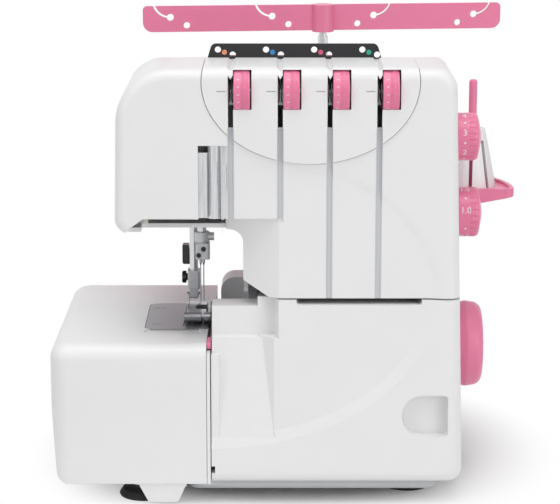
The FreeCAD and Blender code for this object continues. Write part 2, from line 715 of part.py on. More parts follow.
def make_power_switch():
    """Rocker that turns on the module's cross pin."""
    x = switch_axis()
    profile = [(x - 4, SWITCH_Z - 3.2, 1.0), (x + 2.4, SWITCH_Z - 6.8, 0.5), (x + 4.6, SWITCH_Z - 6.2, 0.6),
               (x + 2.8, SWITCH_Z, 6.0), (x + 4.6, SWITCH_Z + 6.2, 0.6), (x + 2.4, SWITCH_Z + 6.8, 0.5),
               (x - 4, SWITCH_Z + 3.2, 1.0)]
    rocker = slab_xz(profile, MODULE_Y0 + 3.6, MODULE_Y1 - 3.6)
    return rocker.cut(rod_y(MODULE_Y0, MODULE_Y1, x, SWITCH_Z, 1.2 + RUN))


# Looper cover

def cover_form(inset, front_inset):
    """Front cover as a solid, drawn in by the inset, with its round right and lower edges."""
    front = Y_FRONT + front_inset
    bottom = COVER_BOTTOM + inset
    top = COVER_TOP + 5
    form = slab_xz([(COVER_LEFT + inset, bottom, 0), (right_side(bottom) - inset, bottom,
                                                      COVER_CORNER_ROUND - inset),
                    (right_side(top) - inset, top, 0), (COVER_LEFT + inset, top,
                                                        0)], front, COVER_BACK + inset)
    edges = flat_edges(form, "Y", front,
                       lambda edge: edge.BoundBox.XMax > COVER_LEFT + 10 and edge.BoundBox.ZMin < COVER_TOP)
    return form.makeFillet(COVER_ROUND - inset, edges)


def chute_tool(grow):
    """Cut for the waste chute: a steep floor, a narrow shelf, an upright back and a slanted right side."""
    back = Y_FRONT + CHUTE_DEPTH + grow
    low = CHUTE_FLOOR_BOTTOM - 2.2 * grow
    shelf = CHUTE_FLOOR_TOP - grow
    right = COVER_LEFT + CHUTE_WIDTH + grow
    profile = sharp([(Y_FRONT - 1, low), (Y_FRONT + 1.7, low), (back - CHUTE_SHELF, shelf), (back, shelf + 1),
                     (back, COVER_TOP + 10), (Y_FRONT - 1, COVER_TOP + 10)])
    spare = []
    for slant, bottom, top in ((CHUTE_SIDE_SLANT, 0, shelf + 1), (CHUTE_TOP_SLANT, shelf + 1, FAR)):
        spare.append(slab_xy(sharp([(right, Y_FRONT - 2), (right + 20, Y_FRONT - 2), (right + 20, back + 2),
                                    (right - slant, back + 2)]), bottom, top))
    if grow == 0:
        spare.append(box(COVER_LEFT - 6, COVER_LEFT + CHUTE_LEFT_WALL, Y_FRONT - 2, back + 2, 0,
                         CHUTE_LEFT_TOP))
    return slab_yz(profile, COVER_LEFT - 5, right).cut(spare)


def finger_tool(grow):
    """Pocket with a round left end that a thumb pushes against."""
    right = BODY_RIGHT - FINGER_FROM_RIGHT + grow
    left = right - FINGER_WIDTH - 2 * grow
    low = FINGER_MIDDLE - FINGER_HEIGHT / 2 - grow
    high = FINGER_MIDDLE + FINGER_HEIGHT / 2 + grow
    round_end = FINGER_HEIGHT / 2 - 0.6
    profile = [(left, low, round_end), (right, low, 3.0), (right, high, 3.0), (left, high, round_end)]
    return slab_xz(profile, Y_FRONT - 2, Y_FRONT + FINGER_DEPTH + grow)


def recess_lower(grow, y):
    """Outline of the front recess on the cover: a quarter ellipse below its upper edge."""
    left = COVER_LEFT - 1.0
    across = RECESS_LOWER_SPAN + grow
    down = RECESS_FALL + grow
    right = left + across
    quarter = Part.ArcOfEllipse(Part.Ellipse(Vector(0, 0, 0), across, down), 1.5 * math.pi,
                                2 * math.pi).toShape()
    quarter.rotate(Vector(0, 0, 0), Vector(1, 0, 0), 90)
    quarter.translate(Vector(left, y, COVER_TOP))
    top = COVER_TOP + 6.0
    sides = Part.makePolygon([Vector(right, y, COVER_TOP), Vector(right, y, top), Vector(left, y, top),
                              Vector(left, y, COVER_TOP - down)])
    return Part.Wire(Part.__sortEdges__([quarter] + sides.Edges))


def make_looper_cover():
    outer = cover_form(0.0, 0.0)
    inner = cover_form(WALL, FRONT_WALL)
    inside_back = box(COVER_LEFT + WALL, BODY_RIGHT - WALL, COVER_BACK - WALL - 1, COVER_BACK + 5,
                      HINGE_Z, COVER_TOP - WALL)
    under = box(COVER_LEFT + WALL, BODY_RIGHT - 12.0, HINGE_Y - 3.4, COVER_BACK + 5, 0, HINGE_Z + 1)
    cavity = inner.fuse([inside_back])
    cavity = cavity.common(box(-FAR, FAR, -FAR, FAR, 0, COVER_TOP - WALL - TILT_SLOPE))
    rim_right = COVER_LEFT + CHUTE_WIDTH - RIM_STEP
    under_rim = box(COVER_LEFT - 1, rim_right + WALL, -FAR, FAR, CHUTE_RIM - WALL, FAR)
    cavity = cavity.cut([chute_tool(WALL), finger_tool(WALL - 0.5), under_rim])
    recess = Part.makeLoft(
        [recess_lower(RECESS_BEVEL, Y_FRONT - 0.01), recess_lower(0.0, Y_FRONT + RECESS_DEPTH)], True, True)
    top_trim = box(-FAR, FAR, -FAR, FAR, COVER_TOP, FAR)
    rim_trim = box(COVER_LEFT - 1, rim_right, -FAR, FAR, CHUTE_RIM, FAR)
    lever_way = box(COVER_LEFT - 1, LEVER_X + LEVER_WIDTH + 0.8, -FAR, FAR, CHUTE_LEFT_TOP, FAR)
    tilt_slope = slab_yz(sharp([(Y_FRONT + 16, COVER_TOP), (COVER_BACK + 2, COVER_TOP - TILT_SLOPE),
                                (COVER_BACK + 2, COVER_TOP + 9), (Y_FRONT + 16, COVER_TOP + 9)]), -FAR, FAR)
    corner = box(COVER_LEFT - 1, COVER_LEFT + 2.4, Y_FRONT - 1, Y_FRONT + 20, COVER_BOTTOM + 7.3,
                 COVER_BOTTOM + 12.4)
    notch = slab_xz([(COVER_LEFT + NOTCH_LEFT, COVER_TOP - NOTCH_DROP, 2.0),
                     (COVER_LEFT + NOTCH_LEFT + NOTCH_LENGTH, COVER_TOP - NOTCH_DROP, 2.0),
                     (COVER_LEFT + NOTCH_LEFT + NOTCH_LENGTH, COVER_TOP + 5, 0),
                     (COVER_LEFT + NOTCH_LEFT, COVER_TOP + 5, 0)], -FAR, FAR)
    shell = outer.cut([cavity, under, chute_tool(0.0), finger_tool(0.0), recess, top_trim, rim_trim,
                       lever_way,
                       tilt_slope, corner, notch])
    ribs = []
    for left in (SLEEVE_LEFT + 8.0, SLEEVE_LEFT + SLEEVE_LENGTH - 11.0):
        rib = slab_yz([(Y_FRONT + FRONT_WALL - 0.5, HINGE_Z - 3.0, 0), (HINGE_Y + 4.2, HINGE_Z - 3.6, 3.0),
                       (HINGE_Y + 6.0, HINGE_Z + 7.0, 4.0), (Y_FRONT + FRONT_WALL - 0.5, HINGE_Z + 22, 0)],
                      left, left + 3.0)
        ribs.append(rib)
    sleeve = rod_x(COVER_LEFT, BODY_RIGHT, HINGE_Y, HINGE_Z, SLEEVE_RADIUS + RUN)
    return joined(shell, *ribs).cut(sleeve.common(box(SLEEVE_LEFT, SLEEVE_LEFT + SLEEVE_LENGTH, -FAR, FAR,
                                                      0, FAR)))


def make_hinge_rod():
    """Rod that slides in the two ears, with a thick journal that the cover's ribs turn on."""
    right = HINGE_ROD_LEFT + HINGE_ROD_LENGTH
    return joined(rod_x(HINGE_ROD_LEFT - HINGE_ROD_TAIL, right, HINGE_Y, HINGE_Z, HINGE_ROD_RADIUS),
                  rod_x(SLEEVE_LEFT, SLEEVE_LEFT + SLEEVE_LENGTH, HINGE_Y, HINGE_Z, SLEEVE_RADIUS))


def make_hinge_ears():
    """Two brackets that stand on the base, with snap-in cradles for the hinge rod."""
    ears = []
    for left in (HINGE_ROD_LEFT + 1.0, HINGE_ROD_LEFT + HINGE_ROD_LENGTH - 1.0 - HINGE_EAR):
        foot_back = COVER_BACK + 8.0
        profile = [(HINGE_Y - HINGE_LIP, HINGE_Z - 3.1, 0.4), (foot_back - 14.0, HINGE_Z - 3.1, 2.0),
                   (foot_back - 14.0, BASE_TOP, 0), (foot_back, BASE_TOP, 0),
                   (foot_back, BASE_TOP + 3.0, 1.0),
                   (foot_back - 10.5, HINGE_Z + 3.1, 3.0), (HINGE_Y - HINGE_LIP, HINGE_Z + 3.1, 0.4)]
        ear = slab_yz(profile, left, left + HINGE_EAR)
        ears.append(ear.cut(rod_x(left - 1, left + HINGE_EAR + 1, HINGE_Y, HINGE_Z, HINGE_ROD_RADIUS + RUN)))
    return Part.makeCompound(ears)


def side_form(inset):
    left = X_LEFT + inset
    front = Y_FRONT + inset
    back = BODY_BACK + SIDE_COVER_OVERHANG - inset
    right = SIDE_RIGHT + (20.0 if inset else 0.0)
    bottom = COVER_BOTTOM - (5.0 if inset else 0.0)
    top = BED_HEIGHT - inset
    form = slab_xy([(left, front, SIDE_FRONT_ROUND - inset), (right, front, 0), (right, back, 0),
                    (left, back, SIDE_BACK_ROUND - inset)], bottom, top)
    edges = flat_edges(form, "Z", top, lambda edge: edge.BoundBox.XMin < right - 0.1)
    form = form.makeFillet(SIDE_TOP_ROUND - inset, edges)
    tuck = slab_xz([(left - 5, bottom - 1, 0), (left + 11, bottom - 1, 0), (left + 3.6, COVER_BOTTOM + 3.5,
                                                                            7.0),
                    (left, COVER_BOTTOM + 57, 60.0), (left, top, 0), (left - 5, top, 0)], -FAR, FAR)
    return form.cut(tuck)


def make_side_cover():
    behind_body = box(SIDE_RIGHT - SIDE_COVER_WALL, FAR, BODY_BACK + 1, FAR, -FAR, FAR)
    shell = side_form(0.0).cut(side_form(SIDE_COVER_WALL).cut(behind_body))
    right = SIDE_RIGHT + 5
    plate_way = slab_xy([(PLATE_LEFT - SEAM, PLATE_FRONT - SEAM, PLATE_CORNER),
                         (right, PLATE_FRONT - SEAM, 0),
                         (right, PLATE_BACK + SEAM, 0), (PLATE_LEFT - SEAM, PLATE_BACK + SEAM, PLATE_CORNER)],
                        BED_HEIGHT - 15, BED_HEIGHT + 5)
    lever_way = box(LEVER_X - SEAM, right, -FAR, PLATE_FRONT, 0, FAR)
    ledge = slab_xy([(PLATE_LEFT - 2, PLATE_FRONT - 12, 4.0), (PLATE_LEFT + 40, PLATE_FRONT - 12, 4.0),
                     (PLATE_LEFT + 37, PLATE_FRONT, 0), (PLATE_LEFT + 2, PLATE_FRONT, 0)],
                    BED_HEIGHT - 0.9, BED_HEIGHT + 1)
    return shell.cut([plate_way, lever_way, ledge])


def make_base_tray():
    """Tray under the machine, open below, with two ribs."""
    front = Y_FRONT + BASE_FRONT_SETBACK
    tray = slab_xy(rectangle(BASE_LEFT, BASE_RIGHT, front, BODY_BACK, 8.0), BASE_UNDERSIDE, BASE_TOP)
    tray = tray.makeChamfer(3.0, flat_edges(tray, "Z", BASE_UNDERSIDE))
    hollow = slab_xy(rectangle(BASE_LEFT + BASE_WALL, BASE_RIGHT - BASE_WALL, front + BASE_WALL,
                               BODY_BACK - BASE_WALL, 5.5), BASE_UNDERSIDE - 1, FOOT_HEIGHT)
    ribs = []
    for x in (BASE_LEFT + 55, BASE_LEFT + 112):
        ribs.append(box(x, x + 2.0, front + 1, BODY_BACK - 1, BASE_UNDERSIDE + 2, FOOT_HEIGHT + 0.5))
    return joined(tray.cut(hollow), *ribs)


def make_left_legs():
    """Outriggers for the two left feet, and the upright filler between the covers."""
    legs = []
    for setback, side in ((FRONT_FOOT_SETBACK, -1), (BACK_FOOT_SETBACK, 1)):
        y = Y_FRONT + setback
        plate = slab_xy([(LEFT_FOOT_X - 10, y - 18, 9.0), (BASE_LEFT, y - 18, 0), (BASE_LEFT, y + 18, 0),
                         (LEFT_FOOT_X - 10, y + 18, 9.0)], FOOT_HEIGHT, BASE_TOP)
        face = y + side * (FOOT_RADIUS + 4.0)
        skirt = slab_xz([(LEFT_FOOT_X - 2.8, BASE_TOP, 0), (LEFT_FOOT_X + 4, 1.5, 2.0),
                         (BASE_LEFT - 5.7, 1.5, 2.0), (BASE_LEFT, BASE_TOP, 0)], face - 1.3, face + 1.3)
        bridge = box(LEFT_FOOT_X - 2, BASE_LEFT, min(y, face), max(y, face), FOOT_HEIGHT, BASE_TOP)
        legs.append(joined(plate, bridge, skirt))
    legs.append(box(LEVER_X - SEAM + FREE, SIDE_RIGHT, Y_FRONT + FREE, Y_FRONT + 22.0, BASE_TOP,
                    LEVER_Z - 1.0))
    return Part.makeCompound(legs)


def make_rubber_feet():
    """Four suction feet with a hollow sole."""
    profile = [(0, 2.2, 0), (FOOT_RADIUS - 6.5, 1.6, 0), (FOOT_RADIUS - 3.5, 0, 0), (FOOT_RADIUS - 0.6, 0, 0),
               (FOOT_RADIUS, 1.2, 0.5), (FOOT_RADIUS - 2.5, 5.0, 2.0), (FOOT_RADIUS - 6.0, 7.4, 2.0),
               (FOOT_RADIUS - 7.0, FOOT_HEIGHT, 0), (0, FOOT_HEIGHT, 0)]
    feet = []
    for x, front in ((LEFT_FOOT_X, FRONT_FOOT_SETBACK), (RIGHT_FOOT_X, RIGHT_FRONT_SETBACK)):
        for setback in (front, BACK_FOOT_SETBACK):
            feet.append(turned_z(profile, x, Y_FRONT + setback))
    return Part.makeCompound(feet)


# Frame casting

def side_plate(left, rear_cut):
    profile = [(BAY_BACK, FRAME_FLOOR_TOP - 5, 0), (BAY_BACK, COVER_TOP - 7, 10.0),
               (PLATE_EDGE, COVER_TOP + 7, 10.0),
               (PLATE_EDGE, BODY_TOP - 9.5, 6.0), (PARTING, BODY_TOP - 9.5, 12.0),
               (FRAME_BACK, BODY_BACK_TOP - 12, 12.0)]
    if rear_cut:
        profile += [(FRAME_BACK, MODULE_Z1 + 6, 5.0), (MODULE_Y0 - 4, MODULE_Z1 + 6, 5.0),
                    (MODULE_Y0 - 4, FRAME_FLOOR_TOP - 5, 0)]
    else:
        profile += [(FRAME_BACK, FRAME_FLOOR_TOP - 5, 0)]
    plate = slab_yz(profile, left, left + FRAME_WALL)
    lightening = [
        slab_yz(rectangle(PLATE_EDGE + 28, FRAME_BACK - 34, COVER_TOP + 16, COVER_TOP + 62, 10.0),
                left - 1, left + FRAME_WALL + 1),
    ]
    return plate.cut(lightening)


def make_machine_frame():
    """Casting: two side plates on a floor, the arm, the free arm, the knife slideway and the motor saddle."""
    left_plate = side_plate(LEFT_PLATE, False)
    right_plate = side_plate(RIGHT_PLATE, True)
    floor = box(LEFT_PLATE, RIGHT_PLATE + FRAME_WALL, BAY_BACK, MODULE_Y0 - 4, BASE_TOP, FRAME_FLOOR_TOP)
    lug_top = UPPER_LUG + LUG_THICKNESS
    arm_wall = slab_xz([(ARM_LEFT + 9, LOWER_LUG, 4.0), (LEFT_PLATE + 1, LOWER_LUG, 0),
                        (LEFT_PLATE + 1, lug_top, 0),
                        (ARM_LEFT + 34, lug_top, 12.0), (ARM_LEFT + 9, UPPER_LUG - 30, 12.0)],
                       FRAME_BACK - FRAME_WALL, FRAME_BACK)
    lugs = []
    for height in (LOWER_LUG, UPPER_LUG):
        left = PRESSER_X - 6.2
        lugs.append(slab_xy([(left, NEEDLE_Y - 9, 3.0), (NEEDLE_X + 9, NEEDLE_Y - 9, 7.0),
                             (NEEDLE_X + 9, FRAME_BACK - 2, 0), (left, FRAME_BACK - 2, 0)],
                            height, height + LUG_THICKNESS))
    frame = joined(left_plate, right_plate, floor, arm_wall, *lugs, make_free_arm(), make_knife_guide(),
                   make_motor_cradle(), make_lifter_pin())
    bores = [
        rod_x(LEFT_PLATE - 1, RIGHT_PLATE + 20, ROCKER_Y, ROCKER_HEIGHT, ROCKER_RADIUS + RUN),
        rod_x(LEFT_PLATE - 1, RIGHT_PLATE + 20, SHAFT_Y, HANDWHEEL_HEIGHT, SHAFT_BUSH_RADIUS + RUN),
        rod_x(RIGHT_PLATE - 1, RIGHT_PLATE + 20, MOTOR_Y, MOTOR_Z, 8.5),
    ]
    for height in (STITCH_DIAL_HEIGHT, FEED_DIAL_HEIGHT):
        bores.append(rod_x(RIGHT_PLATE - 1, RIGHT_PLATE + 20, DIAL_Y, height, DIAL_SPINDLE_RADIUS + RUN))
    for x, y in ((NEEDLE_X, NEEDLE_Y), (PRESSER_X, PRESSER_Y)):
        for height in (LOWER_LUG, UPPER_LUG):
            bores.append(rod_z(height - 1, height + LUG_THICKNESS + 1, x, y, BAR_BUSH_RADIUS + RUN))
    for x, z in ((LOWER_LOOPER_X, LOWER_LOOPER_HEIGHT), (UPPER_LOOPER_X, UPPER_LOOPER_HEIGHT)):
        bores.append(rod_y(PLATE_BACK - 20, PLATE_BACK + 5, x, z, LOOPER_SHAFT_RADIUS + RUN))
    return frame.cut(bores)


def make_free_arm():
    """Bed casting under the stitch plate: a rim at the front, an end wall, a back wall and a floor."""
    top = BED_HEIGHT - PLATE_THICKNESS
    right = LEFT_PLATE + 1
    back_wall = box(PLATE_LEFT, right, PLATE_BACK - FREE_ARM_WALL, PLATE_BACK, FREE_ARM_FLOOR,
                    UPPER_LOOPER_HEIGHT + 12)
    plate_rest = box(PLATE_LEFT, PLATE_RIGHT, PLATE_BACK - FREE_ARM_WALL, PLATE_BACK, UPPER_LOOPER_HEIGHT,
                     top)
    end_wall = box(PLATE_LEFT, PLATE_LEFT + FREE_ARM_WALL, PLATE_FRONT, PLATE_BACK, FREE_ARM_FLOOR, top)
    rim = box(PLATE_LEFT, LEVER_X - 1.0, PLATE_FRONT, PLATE_FRONT + FREE_ARM_WALL, top - FREE_ARM_RIM, top)
    rest = box(LEVER_X - 2.0, LEVER_X + 4.0, PLATE_FRONT, PLATE_FRONT + FREE_ARM_WALL, top - FREE_ARM_RIM,
               LEVER_Z - RUN)
    floor = box(PLATE_LEFT, right, PLATE_BACK - FREE_ARM_FLOOR_DEPTH, PLATE_BACK, FREE_ARM_FLOOR,
                FREE_ARM_FLOOR + FLOOR_THICKNESS)
    outside = slab_xy([(PLATE_LEFT, PLATE_FRONT, PLATE_CORNER), (right, PLATE_FRONT, 0),
                       (right, PLATE_BACK, 0),
                       (PLATE_LEFT, PLATE_BACK, PLATE_CORNER)], 0, BED_HEIGHT)
    return joined(back_wall, plate_rest, end_wall, rim, rest, floor).common(outside)


# Stitch plate, knives and stitch finger lever
def make_stitch_plate():
    bottom = BED_HEIGHT - PLATE_THICKNESS
    plate = slab_xy([(PLATE_LEFT, PLATE_FRONT, PLATE_CORNER), (LEVER_X - SEAM, PLATE_FRONT, 1.0),
                     (LEVER_X - SEAM, KNIFE_FRONT - 4, 1.0), (PLATE_RIGHT, KNIFE_FRONT - 4, 0),
                     (PLATE_RIGHT, PLATE_BACK, 2.0), (PLATE_LEFT, PLATE_BACK,
                                                      PLATE_CORNER)], bottom, BED_HEIGHT)
    cuts = []
    for row in FEED_ROWS:
        x = NEEDLE_X + row
        for front, back in feed_spans():
            cuts.append(slab_xy(rectangle(x - FREE, x + FEED_ROW_WIDTH + FREE, front - FREE,
                                          back + FEED_TRAVEL + FREE, 0.6), bottom - 1, BED_HEIGHT + 1))
    window = slab_xy([(NEEDLE_X - 3.2, NEEDLE_Y - 8, 1.5), (PLATE_RIGHT + 2, NEEDLE_Y - 8, 0),
                      (PLATE_RIGHT + 2, NEEDLE_Y + 7, 0), (NEEDLE_X - 3.2, NEEDLE_Y + 7, 1.5)],
                     bottom - 1, BED_HEIGHT + 1)
    return plate.cut(cuts + [window])


def feed_spans():
    """Front and back of the differential and the main feed dog at the front end of their travel."""
    return ((NEEDLE_Y - DIFFERENTIAL_FRONT, NEEDLE_Y - DIFFERENTIAL_BACK),
            (NEEDLE_Y - MAIN_FEED_FRONT, NEEDLE_Y + MAIN_FEED_BACK))


def make_feed_dog(index):
    """Toothed rows on a carrier, with a post at its left that runs on the free arm's floor."""
    front, back = feed_spans()[index]
    top = BED_HEIGHT - 0.4
    pitch = 2.0
    rows = []
    for row in FEED_ROWS:
        x = NEEDLE_X + row
        bar = box(x, x + FEED_ROW_WIDTH, front, back, BED_HEIGHT - 9, top)
        teeth = []
        for step in range(int((back - front) / pitch)):
            y = front + step * pitch
            teeth.append(slab_yz(sharp([(y + 0.2, top + 0.1), (y + pitch, top + 0.1),
                                        (y + pitch, top - 0.9)]),
                                 x - 0.1, x + FEED_ROW_WIDTH + 0.1))
        rows.append(bar.cut(teeth))
    x0 = NEEDLE_X + FEED_ROWS[0]
    x1 = NEEDLE_X + FEED_ROWS[1] + FEED_ROW_WIDTH
    bridge = box(x0, x1, front, back, BED_HEIGHT - 10.5, BED_HEIGHT - 6.5)
    left = NEEDLE_X - FEED_POST_LEFT
    arm = box(left, x0 + 1, back - 8.0, back, BED_HEIGHT - 10.5, BED_HEIGHT - 6.5)
    post = box(left, left + 4.5, back - 7.0, back - 1.0, FREE_ARM_FLOOR + FLOOR_THICKNESS + RUN,
               BED_HEIGHT - 8)
    return joined(rows[0], rows[1], bridge, arm, post)


def make_lower_knife():
    profile = sharp([(KNIFE_FRONT, BED_HEIGHT - 20), (KNIFE_BACK, BED_HEIGHT - 20), (KNIFE_BACK, BED_HEIGHT),
                     (KNIFE_FRONT, BED_HEIGHT - 1.2)])
    return slab_yz(profile, PLATE_RIGHT, PLATE_RIGHT + KNIFE_THICKNESS)


def make_upper_knife():
    """Blade, its upright and the carrier that runs in the slideway."""
    left = PLATE_RIGHT + KNIFE_THICKNESS + KNIFE_GAP
    blade = slab_yz(sharp([(KNIFE_FRONT, BED_HEIGHT + 1.0), (KNIFE_BACK, BED_HEIGHT + 3.0),
                           (KNIFE_BACK, BED_HEIGHT + 12.0), (KNIFE_FRONT + 3, BED_HEIGHT + 12.0)]),
                    left, left + KNIFE_THICKNESS)
    middle = (KNIFE_FRONT + KNIFE_BACK) / 2
    half = CARRIER_DEPTH / 2
    arm_left = left + KNIFE_THICKNESS - 0.01
    upright = box(arm_left, arm_left + 3.0, middle - half, middle + half, BED_HEIGHT - 20, BED_HEIGHT + 11.0)
    carrier = box(arm_left, GUIDE_LEFT + 6.0, middle - half, middle + half, BED_HEIGHT - 44, BED_HEIGHT - 14)
    screw = rod_x(arm_left + 2.9, arm_left + 4.6, middle, BED_HEIGHT + 6.0, 2.4)
    return joined(blade, upright, carrier, screw)


def make_knife_guide():
    """Slideway on the frame's left plate that the upper knife's carrier runs in."""
    middle = (KNIFE_FRONT + KNIFE_BACK) / 2
    half = CARRIER_DEPTH / 2
    block = slab_xy([(GUIDE_LEFT, middle - half - 3, 1.0), (LEFT_PLATE + 1, middle - half - 3, 0),
                     (LEFT_PLATE + 1, middle + half + 3, 0), (GUIDE_LEFT, middle + half + 3, 1.0)],
                    BED_HEIGHT - 46, BED_HEIGHT - 26)
    return block.cut(box(GUIDE_LEFT - 1, GUIDE_LEFT + 6.0 + 2 * RUN, middle - half - RUN,
                         middle + half + RUN, 0, FAR))


def make_stitch_lever():
    """Slim lever along the bed that draws the stitch finger back."""
    bar = box(LEVER_X, LEVER_X + LEVER_WIDTH, LEVER_CAP_FRONT + LEVER_CAP_LENGTH, PLATE_FRONT + 24, LEVER_Z,
              BED_HEIGHT - 0.3)
    tongue_y = PLATE_FRONT + 18
    under = BED_HEIGHT - PLATE_THICKNESS - 0.3
    tongue = box(NEEDLE_X + 1.8, LEVER_X + 1, tongue_y, tongue_y + 4, LEVER_Z, under)
    finger = rod_y(tongue_y + 3, NEEDLE_Y + 2, NEEDLE_X + 2.3, LEVER_Z + 0.8, 0.5)
    return joined(bar, tongue, finger)


def make_stitch_lever_cap():
    back = LEVER_CAP_FRONT + LEVER_CAP_LENGTH
    return slab_yz([(LEVER_CAP_FRONT, LEVER_Z, 0.8), (back, LEVER_Z, 0), (back, BED_HEIGHT + 0.6, 0.8),
                    (LEVER_CAP_FRONT, BED_HEIGHT + 0.2, 1.2)], LEVER_X - 0.1, LEVER_X + LEVER_WIDTH + 0.1)


# Loopers
def looper_shaft(x, z, front):
    return rod_y(front, PLATE_BACK + 2.5, x, z, LOOPER_SHAFT_RADIUS)


def make_lower_looper():
    front = NEEDLE_Y + 1.5
    back = front + LOOPER_THICKNESS
    x = LOWER_LOOPER_X
    z = LOWER_LOOPER_HEIGHT
    arm = slab_xz([(x + 4, z - 3, 0), (x + 2, z + 12, 6.0), (x - 9, z + 33, 9.0), (x - 34, z + 36, 0),
                   (x - 33, z + 33.6, 0), (x - 16, z + 27, 8.0), (x - 6, z + 6, 6.0), (x - 5, z - 2, 0)],
                  front, back)
    hub = rod_y(front - 1, back + 4, x, z, LOOPER_HUB)
    return joined(arm, hub, looper_shaft(x, z, front - 1))


def make_upper_looper():
    front = NEEDLE_Y - 5.0
    back = front + LOOPER_THICKNESS
    x = UPPER_LOOPER_X
    z = UPPER_LOOPER_HEIGHT

    def spot(radius, angle):
        turn = math.radians(angle)
        return Vector(x + radius * math.cos(turn), front, z + radius * math.sin(turn))

    inner = UPPER_BLADE - 2.0
    outer = UPPER_BLADE + 2.0
    edges = [
        Part.Arc(spot(outer, 8), spot(outer, 26), spot(UPPER_BLADE, 44)).toShape(),
        Part.Arc(spot(UPPER_BLADE, 44), spot(inner, 30), spot(inner, 16)).toShape(),
        Part.LineSegment(spot(inner, 16), spot(5.0, 50)).toShape(),
        Part.LineSegment(spot(5.0, 50), spot(5.0, -40)).toShape(),
        Part.LineSegment(spot(5.0, -40), spot(outer, 8)).toShape(),
    ]
    blade = Part.Face(Part.Wire(edges)).extrude(Vector(0, back - front, 0))
    hub = rod_y(front, back + 3, x, z, LOOPER_HUB)
    return joined(blade, hub, looper_shaft(x, z, front))


# Needle bar, needles and their drive
def make_needle_bar():
    bottom = CLAMP_BOTTOM + CLAMP_HEIGHT
    bar = rod_z(bottom, bottom + NEEDLE_BAR_LENGTH, NEEDLE_X, NEEDLE_Y, NEEDLE_BAR_RADIUS)
    block = slab_xy(rectangle(NEEDLE_X - 4.6, DRIVE_RIGHT, NEEDLE_Y - 6, NEEDLE_Y + 6, 2.5),
                    DRIVE_Z - 5.0, DRIVE_Z + 5.0)
    pin = rod_x(DRIVE_RIGHT - 0.5, DRIVE_RIGHT + FORK_THICKNESS + 1.2, NEEDLE_Y, DRIVE_Z, DRIVE_PIN_RADIUS)
    return joined(bar, block, pin)


def make_needle_clamp():
    left = NEEDLE_X - CLAMP_WIDTH / 2 + 0.6
    right = left + CLAMP_WIDTH
    y0 = NEEDLE_Y - CLAMP_DEPTH / 2
    block = slab_xy(rectangle(left, right, y0, y0 + CLAMP_DEPTH - 0.6, 1.6), CLAMP_BOTTOM,
                    CLAMP_BOTTOM + CLAMP_HEIGHT)
    collar_bottom = CLAMP_BOTTOM + CLAMP_HEIGHT + 0.8
    collar = rod_z(collar_bottom, collar_bottom + COLLAR_HEIGHT, NEEDLE_X, NEEDLE_Y, 5.2)
    stem = rod_z(CLAMP_BOTTOM + CLAMP_HEIGHT - 1, collar_bottom + 1, NEEDLE_X, NEEDLE_Y, 4.6)
    side_screw = rod_x(NEEDLE_X + 3.5, NEEDLE_X + 8.6, NEEDLE_Y, collar_bottom + COLLAR_HEIGHT / 2, 2.9)
    guide = rod_y(y0 - 1.4, y0 + 2, left + 1.2, CLAMP_BOTTOM + 1.6, 0.7)
    body = joined(block, stem, collar, side_screw, guide)
    cuts = [rod_z(CLAMP_BOTTOM + CLAMP_HEIGHT, FAR, NEEDLE_X, NEEDLE_Y, NEEDLE_BAR_RADIUS)]
    for x in needle_places():
        cuts.append(rod_z(CLAMP_BOTTOM - 1, CLAMP_BOTTOM + 8.0, x, NEEDLE_Y, NEEDLE_SHANK))
    for x, z in clamp_screw_places():
        cuts.append(rod_y(y0 - 1, NEEDLE_Y - 1.6, x, z, 1.7))
    return body.cut(cuts)


def needle_places():
    return (NEEDLE_X - NEEDLE_PITCH / 2, NEEDLE_X + NEEDLE_PITCH / 2)


def clamp_screw_places():
    return ((NEEDLE_X - NEEDLE_PITCH / 2 - 1.2, CLAMP_BOTTOM + 3.0), (NEEDLE_X + 1.2, CLAMP_BOTTOM + 7.6))


def make_clamp_screws():
    y0 = NEEDLE_Y - CLAMP_DEPTH / 2
    screws = []
    for x, z in clamp_screw_places():
        screw = rod_y(y0 - 1.0, NEEDLE_Y - 1.6, x, z, 1.65)
        screws.append(screw.cut(Part.makeBox(3.4, 1.2, 0.6, Vector(x - 1.7, y0 - 1.6, z - 0.3))))
    return Part.makeCompound(screws)


def make_needles():
    needles = []
    for x in needle_places():
        profile = [(0, NEEDLE_TIP_HEIGHT, 0), (0.42, NEEDLE_TIP_HEIGHT + 4.0, 0),
                   (0.42, CLAMP_BOTTOM - 5.0, 0),
                   (NEEDLE_SHANK, CLAMP_BOTTOM - 3.0, 0), (NEEDLE_SHANK, CLAMP_BOTTOM + 8.0, 0),
                   (0, CLAMP_BOTTOM + 8.0, 0)]
        needles.append(turned_z(profile, x, NEEDLE_Y))
    return Part.makeCompound(needles)


